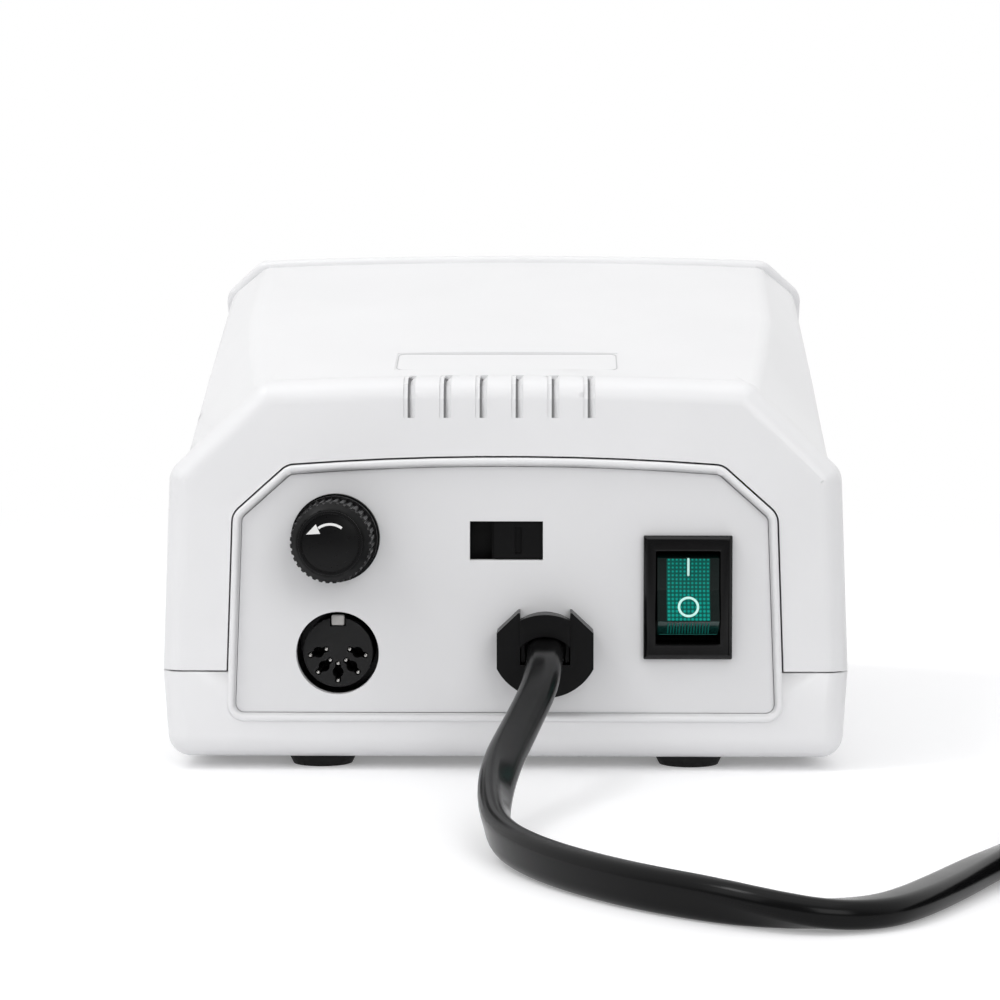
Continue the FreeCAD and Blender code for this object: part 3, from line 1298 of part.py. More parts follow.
def make_selector():
    """The mains voltage selector behind its window."""
    x, z = S.selector_x, S.selector_z
    top = -S.panel_thickness
    end = S.panel_sink - S.selector_end
    play = S.slider_play
    foot_room_x = (S.slider_foot_width + S.slider_travel) / 2 + play
    foot_room_y = S.slider_foot_height / 2 + play
    foot_floor = top - S.slider_foot
    body = upright_block("selector body", S.selector_width / 2, S.selector_height / 2,
                         (end, top))
    ears = upright_block("selector ears", S.selector_ear_width / 2, S.selector_height / 2,
                         (top - S.pedal_flange, top))
    side = S.selector_ear_width / 2 - S.fixing_inset
    holes = [rod("ear hole", "Z", (top - S.pedal_flange - 1, top + 1), (place, 0),
                 S.fixing_radius + S.fit) for place in (-side, side)]
    room = upright_block("slider room", foot_room_x, foot_room_y, (foot_floor - play, top + 1))
    housing = cut("selector box", fuse("selector blank", body, ears), room, *holes)
    sub_part("selector_housing", on_back("selector", housing, x, z))

    shift = S.slider_travel / 2
    grip = block("slider grip", around(shift, S.slider_width),
                 around(size(0), S.selector_window_height - play * 2),
                 (top - play * 2, -S.slider_sink))
    foot = block("slider foot", around(shift, S.slider_foot_width),
                 around(size(0), S.slider_foot_height), (foot_floor, top - play))
    notch = block("slider slot", around(shift, S.slider_slot),
                  around(size(0), S.selector_window_height - 2), (-S.slider_sink - 0.8, 1))
    sub_part("selector_slider", on_back("slider", cut(
        "slider body", fuse("slider blank", grip, foot), notch), x, z))

    pins = []
    for across in (-1, 0, 1):
        for up in (-1, 1):
            pins.append(block("selector pin", around(S.selector_pin_pitch * across, 1.0),
                              around(size(up) * S.selector_height / 4, 0.6),
                              (end - S.tab_length / 2, end)))
    sub_part("selector_terminals", on_back("selector pins", group("pins", pins), x, z))


def make_strain_relief():
    """The cord's strain relief: a head with a channel, and a clamp over the cord."""
    x, z = S.relief_x, S.relief_z
    half = S.relief_half
    body = slab("relief head", "XY", (0, S.relief_reach), [
        (half - S.relief_corner, S.relief_top),
        (-half + S.relief_corner, S.relief_top),
        (-half, S.relief_shoulder),
        (-half, -S.relief_waist, S.relief_belly),
        (half, -S.relief_waist),
        (half, S.relief_shoulder),
    ])
    neck = rod("relief neck", "Z", (-S.relief_neck_end, 0.5), (0, 0), S.relief_neck_radius)
    latch_top = -S.panel_thickness - S.running_fit
    latches = common("relief latches",
                     rod("latch ring", "Z", (latch_top - S.relief_latch, latch_top), (0, 0),
                         S.relief_latch_radius),
                     upright_block("latch bar", S.relief_latch_radius, S.relief_latch_radius / 3,
                                   (latch_top - S.relief_latch, latch_top)))
    floor = -S.channel_floor
    channel = block("cord channel", (-S.channel_half, S.channel_half),
                    (floor, S.relief_top + 1), (0, S.relief_reach + 1))
    bore = rod("cord bore", "Z", (-S.relief_neck_end - 1, 1), CORD_IN_RELIEF,
               S.cord_width / 2 + S.fit)
    sub_part("strain_relief_base", on_back("strain relief", cut(
        "relief body", fuse("relief blank", body, neck, latches), channel, bore), x, z))

    outer = S.channel_half - S.fit
    inner = outer - S.clamp_leg
    top = S.clamp_roof + S.clamp_roof_thickness
    clamp = slab("clamp block", "XY", (0, S.relief_reach - S.clamp_back), [
        (-outer, floor + S.fit),
        (outer, floor + S.fit),
        (outer, top, S.clamp_crown),
        (-outer, top),
    ])
    gap = slab("clamp gap", "XY", (-1, S.relief_reach), [
        (-inner, floor - 1),
        (inner, floor - 1),
        (inner, S.clamp_roof),
        (-inner, S.clamp_roof),
    ])
    sub_part("strain_relief_clamp", on_back("cord clamp", cut("clamp body", clamp, gap), x, z))


def switch_case(name, width, height):
    """A rocker switch's case: bezel, body with a cavity, and the pin its rocker turns on."""
    half_x, half_y = width / 2, height / 2
    body_x, body_y = half_x - S.bezel_lap, half_y - S.bezel_lap
    room_x = half_x - S.rocker_margin
    opening_y = half_y - S.rocker_margin_ends
    room_y = opening_y + S.rocker_undercut
    blank = bevelled(f"{name} bezel", upright_block(f"{name} flange", half_x, half_y,
                                                    (0, S.bezel_proud)),
                     S.bezel_bevel, lies_at("z", S.bezel_proud))
    body = upright_block(f"{name} body", body_x, body_y, (-S.switch_body, 0.5))
    opening = upright_block(f"{name} opening", room_x, opening_y, (-1, S.bezel_proud + 1))
    room = upright_block(f"{name} room", room_x, room_y, (-S.rocker_room, -S.fit))
    pin = rod(f"{name} pin", "X", (-room_x - 0.5, room_x + 0.5), (0, -S.pivot_sink),
              S.pivot_radius)
    return fuse(f"{name} with pin", cut(f"{name} shell", fuse(f"{name} blank", blank, body),
                                        opening, room), pin)


def rocker(name, width, height, tilt):
    """A rocker on its pin, tilted so that one end stands out."""
    half = width / 2 - S.rocker_margin - S.rocker_play
    crest = height / 2 - S.rocker_margin_ends - S.rocker_crest_gap
    foot = crest + S.rocker_end_slope
    arm = S.rocker_arm
    low = arm - S.rocker_foot_drop
    valley = arm - crest * sine(S.rocker_tilt) / cosine(S.rocker_tilt)
    corners = [
        (-foot * 0.55, -S.rocker_heel),
        (foot * 0.55, -S.rocker_heel),
        (foot, low),
        (crest, arm),
        (0, valley),
        (-crest, arm),
        (-foot, low),
    ]
    blank = slab(f"{name} blank", "YZ", (-half, half), corners)
    bore = rod(f"{name} bore", "X", (-half - 1, half + 1), (0, 0),
               S.pivot_radius + S.running_fit)
    body = cut(f"{name} body", blank, bore)
    holder = doc.addObject("Part::Compound", f"{name} tilted")
    holder.Links = [body]
    angle = size(S.rocker_tilt * tilt)
    turn = Rotation(Vector(1, 0, 0), angle.value)
    holder.Placement = FreeCAD.Placement(Vector(), turn)
    bind(holder, "Placement.Base.z", -S.pivot_sink)
    return holder


def switch_tabs(name):
    """Four connection tabs under a switch."""
    tabs = []
    for across in (-1, 1):
        for up in (-1, 1):
            tabs.append(block(name, around(size(across) * S.switch_tab_pitch / 2, S.tab_width),
                              around(size(up) * S.switch_tab_pitch / 2 * 1.3, S.tab_thickness),
                              (-S.switch_body - S.tab_length, -S.switch_body)))
    return tabs


def make_power_switch():
    x, z = S.switch_x, S.switch_z
    width, height = S.switch_width, S.switch_height
    sub_part("power_switch_housing", on_back("power switch", switch_case(
        "power switch case", width, height), x, z))
    sub_part("power_rocker", on_back("power key", rocker(
        "power rocker blank", width, height, -1), x, z))
    sub_part("power_switch_terminals", on_back("power tabs", group(
        "switch tabs", switch_tabs("power tab")), x, z))
    lamp_height = -S.rocker_room + S.switch_lamp_radius + S.fit
    lamp = rod("switch lamp", "X", (-S.switch_lamp_length / 2, S.switch_lamp_length / 2),
               (0, lamp_height), S.switch_lamp_radius)
    sub_part("power_switch_lamp", on_back("power lamp", lamp, x, z))


def make_front_panel():
    """The control panel, set into the front arch, with its cut-outs."""
    plate = layer("control plate", through_slope(S.plate_sink),
                  through_slope(S.plate_sink + S.plate_thickness),
                  arch_corners(S.plate_rim + S.fit), S.slope_top_depth - S.plate_reach)
    foot = block("plate foot", (-CASE_HALF, CASE_HALF), (depth(-5), depth(S.case_depth + 9)),
                 (S.seam_height - 5, SEAM_TOP + S.fit))
    through = (-S.plate_thickness - 3, 3)
    gap = S.bezel_lap - S.fit
    mini = (S.mini_width / 2 - gap, S.mini_height / 2 - gap)
    holes = [
        on_slope("speed hole", rod("speed bore", "Z", through, (0, 0),
                                   S.pot_bush_radius + S.fit),
                 S.control_knob_x, S.control_knob_v),
        on_slope("jack hole", rod("jack bore hole", "Z", through, (0, 0),
                                  S.jack_barrel_radius + S.fit), S.jack_x, S.jack_v),
        on_slope("lamp hole", rod("lamp bore", "Z", through, (0, 0),
                                  S.lamp_radius + S.lamp_wall), S.lamp_x, S.lamp_v),
        on_slope("direction cut-out", upright_block("direction room", *mini, through),
                 S.mini_switch_x, S.direction_v),
        on_slope("mode cut-out", upright_block("mode room", *mini, through),
                 S.mini_switch_x, S.mode_v),
    ]
    sub_part("front_panel", cut("control panel", plate, foot, *holes))


def make_small_switches():
    """The direction switch and the hand or foot switch on the control panel."""
    for name, up, tilt in (("direction", S.direction_v, -1), ("mode", S.mode_v, 1)):
        case = switch_case(f"{name} case", S.mini_width, S.mini_height)
        sub_part(f"{name}_switch_housing", on_slope(f"{name} switch", case,
                                                    S.mini_switch_x, up))
        key = rocker(f"{name} rocker blank", S.mini_width, S.mini_height, tilt)
        sub_part(f"{name}_rocker", on_slope(f"{name} key", key, S.mini_switch_x, up))


def make_speed_control():
    """A potentiometer behind the panel, its nut and shaft, and the fluted knob."""
    across, up = S.control_knob_x, S.control_knob_v
    back = -S.plate_thickness
    nut_top = S.pot_nut_height
    shaft_bore = S.pot_shaft_radius + S.running_fit
    body = fuse("pot blank",
                rod("pot can", "Z", (back - S.pot_height, back), (0, 0), S.pot_radius),
                rod("pot bush", "Z", (back - 0.5, S.pot_bush_proud), (0, 0),
                    S.pot_bush_radius))
    room = rod("pot bore", "Z", (back - S.pot_height / 2, S.pot_bush_proud + 1), (0, 0),
               shaft_bore)
    sub_part("speed_pot_body", on_slope("speed pot", cut("pot body", body, room), across, up))
    sub_part("speed_pot_nut", on_slope("pot nut", nut(
        "bush nut", (0, nut_top), S.pot_nut_flats, S.pot_bush_radius + S.running_fit),
        across, up))
    grip_base = S.knob_lift
    top = S.knob_lift + S.knob_height
    shaft_top = top - S.knob_skirt
    shaft = rod("pot shaft", "Z", (back - S.pot_height / 2 + S.fit, shaft_top), (0, 0),
                S.pot_shaft_radius)
    flat = block("shaft flat", (S.pot_shaft_radius * 0.5, S.pot_shaft_radius * 2),
                 (-S.pot_shaft_radius, S.pot_shaft_radius),
                 (S.pot_bush_proud + 0.5, shaft_top + 1))
    sub_part("speed_pot_shaft", on_slope("speed shaft", cut("pot shaft body", shaft, flat),
                                         across, up))
    skirt = rod("knob skirt", "Z", (grip_base, grip_base + S.knob_skirt), (0, 0),
                S.knob_radius)
    grip = taper("knob grip", "Z", (grip_base + S.knob_skirt, top), (0, 0),
                 (S.knob_grip_radius, S.knob_grip_radius - 0.8))
    blank = rounded("knob rounded", fuse("knob blank", skirt, grip),
                    (S.soft_round, lies_at("z", top)))
    flutes = []
    count = int(S.knob_flutes.value)
    for i in range(count):
        angle = 360 / count * (i + 0.5)
        reach = S.knob_grip_radius + S.knob_flute_radius * 0.3
        centre = (reach * cosine(angle), reach * sine(angle))
        flutes.append(rod("knob flute", "Z", (grip_base + S.knob_skirt, top + 1), centre,
                          S.knob_flute_radius))
    hollow = cut("knob hollow", rod("knob room", "Z", (grip_base - 1, top - S.knob_skirt),
                                    (0, 0), S.knob_grip_radius - S.wall),
                 rod("knob hub", "Z", (S.pot_bush_proud + 0.5, top), (0, 0),
                     S.pot_shaft_radius + S.wall))
    bore = cut("knob bore", rod("knob bore rod", "Z", (grip_base - 1, shaft_top + 0.3), (0, 0),
                                shaft_bore),
               block("knob flat", (S.pot_shaft_radius * 0.5 + S.running_fit,
                                   S.pot_shaft_radius * 2),
                     (-S.pot_shaft_radius * 2, S.pot_shaft_radius * 2),
                     (S.pot_bush_proud + 0.5, top)))
    mark = slab("knob mark", "XY", (top - S.knob_mark / 2, top + 1), bar(
        (0, 0), S.knob_zero_angle, (S.knob_grip_radius / 2, S.knob_radius + 1), S.knob_mark))
    sub_part("speed_knob", on_slope("speed dial", cut("knob", blank, hollow, bore, mark,
                                                      *flutes), across, up))


def make_handpiece_socket():
    """The round socket that the handpiece's plug goes into."""
    across, up = S.jack_x, S.jack_v
    end = -S.jack_barrel_length
    blank = fuse("jack blank",
                 rod("jack lip", "Z", (0, S.jack_lip), (0, 0), S.jack_lip_radius),
                 rod("jack barrel", "Z", (end, 0.5), (0, 0), S.jack_barrel_radius))
    bevel = bevelled("jack bevelled", blank, S.bezel_bevel, lies_at("z", S.jack_lip))
    bore = rod("jack bore", "Z", (end - 1, S.jack_lip + 1), (0, 0), S.jack_bore_radius)
    mouth = rod("jack mouth", "Z", (S.jack_lip - S.jack_mouth_depth, S.jack_lip + 1), (0, 0),
                S.jack_mouth_radius)
    sub_part("handpiece_socket_shell", on_slope("handpiece socket", cut(
        "jack body", bevel, bore, mouth), across, up))
    floor = S.jack_lip - S.jack_bore_depth
    plug = rod("jack plug", "Z", (floor - S.jack_insert, floor), (0, 0),
               S.jack_bore_radius - S.running_fit)
    holes = [rod("jack pin hole", "Z", (floor - S.jack_insert - 1, floor + 1), centre,
                 S.jack_pin_radius + S.running_fit) for centre in jack_pins()]
    sub_part("handpiece_socket_insert", on_slope("jack insert", cut(
        "jack insert body", plug, *holes), across, up))
    pins = [rod("jack pin", "Z", (end - S.jack_insert / 2, S.jack_lip - S.jack_pin_sink),
                centre, S.jack_pin_radius) for centre in jack_pins()]
    sub_part("handpiece_socket_pins", on_slope("jack pins", group("jack contacts", pins),
                                               across, up))
    back = -S.plate_thickness
    sub_part("handpiece_socket_nut", on_slope("jack nut", nut(
        "jack hexagon", (back - S.jack_nut_height, back), S.jack_nut_flats,
        S.jack_barrel_radius + S.running_fit), across, up))


def jack_pins():
    """Three contact pins, evenly spaced."""
    reach = S.jack_pin_circle
    return [(reach * cosine(angle), reach * sine(angle)) for angle in (90, 210, 330)]


def make_indicator():
    """The power indicator: a domed lens in a bright ring."""
    back = -S.plate_thickness - S.lamp_ring
    outer = fuse("lamp ring blank",
                 rod("lamp ring", "Z", (0, S.lamp_ring), (0, 0), S.lamp_ring_radius),
                 rod("lamp sleeve", "Z", (back, 0.5), (0, 0),
                     S.lamp_radius + S.lamp_wall - S.fit))
    bore = rod("lamp bore room", "Z", (back - 1, S.lamp_ring + 1), (0, 0),
               S.lamp_radius + S.running_fit)
    sub_part("indicator_bezel", on_slope("lamp bezel", cut("lamp bezel body", outer, bore),
                                         S.lamp_x, S.lamp_v))
    lens = fuse("lens blank",
                rod("lens rod", "Z", (back - 2, S.lamp_ring), (0, 0), S.lamp_radius),
                taper("lens dome", "Z", (S.lamp_ring, S.lamp_ring * 2), (0, 0),
                      (S.lamp_radius, S.lamp_radius * 0.7)))
    dome = rounded("lens", lens, (S.lamp_radius * 0.25, lies_at("z", S.lamp_ring * 2)))
    sub_part("power_indicator", on_slope("lamp lens", dome, S.lamp_x, S.lamp_v))


def make_transformer():
    """An upright mains transformer: core, winding, strap and the strap's two screws."""
    x, y = S.core_x, depth(S.core_depth)
    base = INNER_FLOOR + S.core_lift
    half_stack = S.core_stack / 2
    half_length = S.core_length / 2
    top = base + S.core_height
    limb = S.core_limb / 2
    window_low = base + S.core_window
    window_high = top - S.core_window
    core = block("core block", (x - half_stack, x + half_stack),
                 (y - half_length, y + half_length), (base, top))
    windows = []
    for side in (-1, 1):
        near, far = y + limb * side, y + (limb + S.core_window) * side
        ends = (near, far) if side > 0 else (far, near)
        windows.append(block("core window", (x - half_stack - 1, x + half_stack + 1), ends,
                             (window_low, window_high)))
    sub_part("transformer_core", cut("core", core, *windows))

    play = S.fit
    reach = half_stack + S.coil_overhang
    wide = limb + S.core_window - play
    outer = block("winding block", (x - reach, x + reach), (y - wide, y + wide),
                  (window_low + play, window_high - play))
    rounded_outer = rounded("winding rounded", outer, (S.coil_overhang / 2, runs_along("z")))
    limb_room = block("limb room", (x - half_stack - play, x + half_stack + play),
                      (y - limb - play, y + limb + play), (base, top))
    sub_part("transformer_winding", cut("winding", rounded_outer, limb_room))

    half_strap = S.strap_width / 2
    thick = S.strap_thickness
    outside = half_length + thick
    foot_end = outside + S.strap_foot
    strap = fuse("strap blank",
                 block("strap top", (x - half_strap, x + half_strap),
                       (y - outside, y + outside), (top, top + thick)),
                 *[block("strap leg", (x - half_strap, x + half_strap), ends, (base, top + 0.5))
                   for ends in ((y - outside, y - half_length), (y + half_length, y + outside))],
                 *[block("strap foot", (x - half_strap, x + half_strap), ends,
                         (base, base + thick))
                   for ends in ((y - foot_end, y - half_length), (y + half_length, y + foot_end))])
    holes = at_strap_feet("strap hole", (base - 1, base + thick + 1),
                          S.strap_screw_radius + S.fit)
    sub_part("transformer_frame", cut("strap", strap, *holes))

    head = base + thick
    heads = at_strap_feet("strap screw head", (head, head + S.screw_head_height),
                          S.screw_head_radius)
    shanks = at_strap_feet("strap screw shank",
                           (head - S.strap_screw_length + S.strap_thickness, head + 0.5),
                           S.strap_screw_radius)
    sub_part("transformer_screws", group("strap screws", [
        fuse("strap screw", one, two) for one, two in zip(heads, shanks)]))


def on_board(name, across, along, width, length, height):
    """A block that stands on the circuit board, measured from the board's middle."""
    x = around(BOARD_X + across, width)
    y = around(depth(BOARD_DEPTH) + along, length)
    return block(name, x, y, (BOARD_TOP, BOARD_TOP + height))


def make_circuit_board():
    """The control board on its four posts, with what stands on it."""
    x = around(BOARD_X, S.board_width)
    y = around(depth(BOARD_DEPTH), S.board_length)
    plate = block("board plate", x, y, (S.board_height, BOARD_TOP))
    holes = at_board_screws("board hole", (S.board_height - 1, BOARD_TOP + 1),
                            S.small_screw_radius + S.fit)
    sub_part("circuit_board", cut("board", plate, *holes))
    heads = at_board_screws("board screw head", (BOARD_TOP, BOARD_TOP + S.small_screw_head),
                            S.fixing_radius)
    shanks = at_board_screws("board screw shank", (BOARD_TOP - S.board_screw, BOARD_TOP + 0.5),
                             S.small_screw_radius)
    sub_part("board_screws", group("board fasteners", [
        fuse("board screw", one, two) for one, two in zip(heads, shanks)]))

    fins = [on_board("sink base", S.sink_x, SINK_Y, S.sink_width, S.sink_wall,
                     S.sink_height)]
    count = int(S.sink_fins.value)
    for i in range(count):
        place = S.sink_x + (i - (count - 1) / 2) * (S.sink_width - S.sink_wall) / (count - 1)
        fins.append(on_board("sink fin", place, SINK_Y + S.sink_depth / 2, S.sink_wall,
                             S.sink_depth, S.sink_height))
    sub_part("heat_sink", fuse("sink", *fins))
    behind = SINK_Y - S.sink_wall / 2 - S.transistor_thickness / 2
    package = on_board("transistor body", S.sink_x, behind, S.transistor_width,
                       S.transistor_thickness, S.transistor_height)
    sub_part("power_transistor", package)
    cans = []
    for along in (-1, 1):
        centre = (BOARD_X + S.can_x, depth(BOARD_DEPTH) + CAN_Y + S.can_pitch * along / 2)
        cans.append(rounded("can", rod("can body", "Z", (BOARD_TOP, BOARD_TOP + S.can_height),
                                       centre, S.can_radius),
                            (S.soft_round / 2, lies_at("z", BOARD_TOP + S.can_height))))
    sub_part("filter_capacitors", group("cans", cans))
    sub_part("bridge_rectifier", on_board("rectifier", S.bridge_x, S.bridge_y, S.bridge_size,
                                          S.bridge_thickness, S.bridge_size))
    headers = []
    for along in (-1, 0, 1):
        headers.append(on_board("header", S.header_x, S.header_y + S.header_pitch * along,
                                S.header_width, S.header_length, S.header_height))
    sub_part("board_connectors", group("headers", headers))


# The cord's route over the table, as (across, forward from the rear face, height):
# it hangs from the strain relief, lies in an open bend and runs to the coil.
CORD_ROUTE = [
    (7.0, 0.3, 21.6),
    (7.1, -11.5, 21.6),
    (6.2, -24.0, 17.6),
    (3.0, -37.0, 12.8),
    (0.2, -51.0, 9.0),
    (-0.6, -66.0, 5.6),
    (0.6, -80.5, 3.6),
    (6.9, -95.5, 2.9),
    (17.2, -110.0, 2.7),
    (28.0, -119.6, 2.6),
    (35.8, -123.9, 2.6),
    (42.8, -125.0, 2.6),
    (49.2, -122.2, 2.6),
    (54.2, -116.2, 2.6),
    (60.2, -106.0, 2.6),
    (65.8, -95.7, 2.6),
    (71.6, -86.4, 2.6),
    (77.1, -76.4, 2.7),
    (83.2, -66.4, 3.1),
]

# The rest of the cord, from the coil's end down to the table and up into the plug,
# as (across, forward, up) from its first bend.
TAIL_ROUTE = [
    (9.6, 6.9, -2.2),
    (18.2, 15.4, -5.2),
    (23.6, 28.0, -6.0),
    (25.8, 42.0, -3.1),
    (26.0, 56.0, -2.6),
]


def wire_through(points):
    """Straight runs joined by tangent arcs, each as large as its two runs allow."""
    edges = []
    start = points[0]
    radii = []
    for before, corner, after in zip(points, points[1:], points[2:]):
        back = (before - corner).normalize()
        ahead = (after - corner).normalize()
        turn = math.pi - back.getAngle(ahead)
        leg = 0.45 * min((corner - before).Length, (after - corner).Length)
        radius = leg / math.tan(turn / 2)
        radii.append(radius)
        first = corner + back * leg
        last = corner + ahead * leg
        inward = (back + ahead).normalize()
        middle = corner + inward * (radius / math.cos(turn / 2) - radius)
        edges.append(Part.LineSegment(start, first).toShape())
        edges.append(Part.Arc(first, middle, last).toShape())
        start = last
    edges.append(Part.LineSegment(start, points[-1]).toShape())
    return Part.Wire(edges), radii


def tube_along(name, wire):
    """A round tube of the cord's diameter along a wire, checked against its length."""
    edge = wire.Edges[0]
    start = edge.valueAt(edge.FirstParameter)
    heading = edge.tangentAt(edge.FirstParameter)
    radius = S.cord_width.value / 2
    section = Part.Wire([Part.makeCircle(radius, start, heading)])
    solid = wire.makePipeShell([section], True, False)
    expected = math.pi * radius**2 * wire.Length
    print(f"{name}: {wire.Length:.1f} mm long, volume {solid.Volume / expected:.4f} of "
          "its section times its length")
    item = doc.addObject("Part::Feature", f"{name} solid")
    item.Shape = solid
    return item


def biarc(start, start_heading, end, end_heading):
    """Two tangent arcs between two points with headings."""
    across = end - start
    along = across.dot(start_heading + end_heading)
    scale = 2 * (1 - start_heading.dot(end_heading))
    leg = (math.sqrt(along**2 + scale * across.dot(across)) - along) / scale
    near = start + start_heading * leg
    far = end - end_heading * leg
    joint = (near + far) / 2
    edges = []
    for first, corner, last in ((start, near, joint), (joint, far, end)):
        back = (first - corner).normalize()
        ahead = (last - corner).normalize()
        turn = math.pi - back.getAngle(ahead)
        rise = leg / math.sin(turn / 2) - leg / math.tan(turn / 2)
        middle = corner + (back + ahead).normalize() * rise
        edges.append(Part.Arc(first, middle, last).toShape())
    return edges


def least_gap(points, width):
    """The smallest gap between turns, measured between points a turn apart."""
    least = None
    for i, one in enumerate(points):
        for j in range(i + len(points) // 12, len(points)):
            gap = (one - points[j]).Length - width
            if least is None or gap < least:
                least = gap
    return least


def coil_place(swept, centre, entry_angle):
    """A place on the coil, by the angle that its turns have swept in degrees."""
    whole = S.coil_turns.value * 360
    off = abs(swept - whole / 2)
    spread = off - 45 if off > 90 else off * off / 180
    radius = S.coil_inner_radius.value + S.coil_pitch.value * spread / 360
    share = min(max((swept - whole / 2 + 90) / 180, 0), 1)
    lift = S.coil_layer_step.value * share * share * (3 - 2 * share)
    angle = math.radians(entry_angle - swept)
    return centre + Vector(math.cos(angle) * radius, math.sin(angle) * radius, lift)


def make_cord():
    """The flat mains cord as a round tube, its put-away coil, its tail and its plug."""
    route = [Vector(x, depth(d).value, z) for x, d, z in CORD_ROUTE]
    wire, radii = wire_through(route)
    print("cord radii", " ".join(f"{radius:.0f}" for radius in radii))
    sub_part("power_cord", tube_along("power cord", wire))

    heading = (route[-1] - route[-2])
    heading.z = 0
    heading.normalize()
    straight = S.cord_width.value
    entry_angle = math.degrees(math.atan2(heading.x, -heading.y))
    start = route[-1] + heading * straight
    offset = coil_place(0, Vector(), entry_angle)
    centre = start - offset
    whole = S.coil_turns.value * 360
    steps = max(4, round(whole / 90))
    swept = [whole * i / steps for i in range(steps + 1)]
    places = [coil_place(angle, centre, entry_angle) for angle in swept]
    headings = []
    for angle in swept:
        ahead = coil_place(angle + 0.5, centre, entry_angle)
        behind = coil_place(angle - 0.5, centre, entry_angle)
        headings.append((ahead - behind).normalize())
    headings[0] = heading
    last = headings[-1]
    last.z = 0
    last.normalize()
    edges = [Part.LineSegment(route[-1], start).toShape()]
    for i in range(steps):
        edges.extend(biarc(places[i], headings[i], places[i + 1], headings[i + 1]))
    end = places[-1] + last * straight
    edges.append(Part.LineSegment(places[-1], end).toShape())
    coil = Part.Wire(edges)
    sub_part("cord_coil", tube_along("coil", coil))
    samples = []
    for edge in edges:
        samples.extend(edge.discretize(Number=10)[:-1])
    print(f"least gap in the coil {least_gap(samples, S.cord_width.value):.2f} mm")

    first_bend = end + last * (Vector(*TAIL_ROUTE[0]).Length)
    tail = [end, first_bend]
    tail.extend(first_bend + Vector(*step) for step in TAIL_ROUTE)
    tail_wire, tail_radii = wire_through(tail)
    print("tail radii", " ".join(f"{radius:.0f}" for radius in tail_radii))
    sub_part("cord_tail", tube_along("tail", tail_wire))
    print(f"whole cord {wire.Length + coil.Length + tail_wire.Length:.0f} mm")
    make_plug(tail[-1])


def make_plug(place):
    """A flat two-pin plug that lies on the table and points forward."""
    half_width = S.plug_width / 2
    half_thick = S.plug_thickness / 2
    nose = S.plug_nose / 2
    boot_end = S.plug_boot_length
    back = boot_end + S.plug_length
    block_of_plug = slab("plug block", "XY", (-half_thick, half_thick), [
        (-nose, boot_end),
        (nose, boot_end),
        (half_width, boot_end + S.plug_length / 2),
        (half_width, back),
        (-half_width, back),
        (-half_width, boot_end + S.plug_length / 2),
    ])
    soft = rounded("plug rounded", block_of_plug, (S.plug_round, lies_at("z", half_thick)),
                   (S.plug_round, lies_at("z", -half_thick)))
    boot = taper("plug boot", "Y", (0, boot_end + 1), (0, 0),
                 (S.cord_width / 2 + 0.4, S.plug_boot_radius))
    body = fuse("plug", soft, boot)
    base = (Size(place.x, f"({place.x!r})"), Size(place.y, f"({place.y!r})"),
            Size(place.z, f"({place.z!r})"))
    pins = []
    tip = back + S.plug_pin_length
    for side in (-1, 1):
        centre = (S.plug_pin_pitch / 2 * side, 0)
        pin = rounded("plug pin", rod("plug pin rod", "Y", (back, tip), centre,
                                      S.plug_pin_radius),
                      (S.plug_pin_radius / 3, lies_at("y", tip)))
        root_of_pin = rod("plug pin root", "Y", (back - S.plug_pin_root, back + 0.5), centre,
                          S.plug_root_radius)
        pins.append(fuse("whole plug pin", pin, root_of_pin))
    sockets = [rod("pin socket", "Y", (back - S.plug_pin_root, back + 1),
                   (S.plug_pin_pitch / 2 * side, 0), S.plug_root_radius) for side in (-1, 1)]
    sub_part("plug_body", local_frame("plug moulding", cut("plug hollowed", body, *sockets),
                                      base, Rotation()))
    sub_part("plug_pins", local_frame("plug contacts", group("pin pair", pins), base,
                                      Rotation()))


def make_mains_leads():
    """The cord's sheathed end in the relief's neck, and its two leads to the fuse and switch."""
    x, z = S.cord_exit_x, S.cord_exit_z
    sheath_end = S.panel_sink + S.relief_neck_end + S.sheath_overhang
    sheath = rod("sheath end", "Y", (PANEL_FACE, depth(sheath_end)), (x, z), S.cord_width / 2)
    radius = S.lead_radius.value
    reach = S.switch_body.value + S.tab_length.value + S.panel_sink.value
    start = depth(sheath_end).value - 0.5
    solids = [sheath]
    switch = Vector(S.switch_x.value, depth(reach).value + radius, S.switch_z.value)
    fuse_end = S.panel_sink.value + S.fuse_barrel_length.value + S.tab_length.value
    fuse_tab = Vector(S.fuse_x.value, depth(fuse_end).value + radius, S.fuse_z.value)
    for name, side, goal in (("switch lead", 1, switch), ("fuse lead", -1, fuse_tab)):
        first = Vector(x.value + side * (radius + 0.1), start, z.value)
        lift = goal.z - first.z
        run = goal.x - first.x
        points = [
            first,
            first + Vector(0, 8, 0),
            first + Vector(run * 0.15, goal.y - first.y + 7, lift * 0.3),
            first + Vector(run * 0.55, goal.y - first.y + 12, lift * 0.7),
            first + Vector(run * 0.92, goal.y - first.y + 9, lift),
            goal,
        ]
        wire, _ = wire_through(points)
        item = doc.addObject("Part::Feature", name)
        section = Part.Wire([Part.makeCircle(radius, first, Vector(0, 1, 0))])
        item.Shape = wire.makePipeShell([section], True, False)
        solids.append(item)
    sub_part("mains_leads", fuse("leads", *solids))


def check_document():
    """Stops if any object failed, or any sub-part isn't a valid solid."""
    doc.recompute()
    for item in doc.Objects:
        if "Invalid" in item.State or "Error" in item.State:
            raise RuntimeError(f"{item.Label} failed")
    for item in NODES:
        if item.Shape.isNull() or not item.Shape.isValid():
            raise RuntimeError(f"{item.Label} has no valid shape")


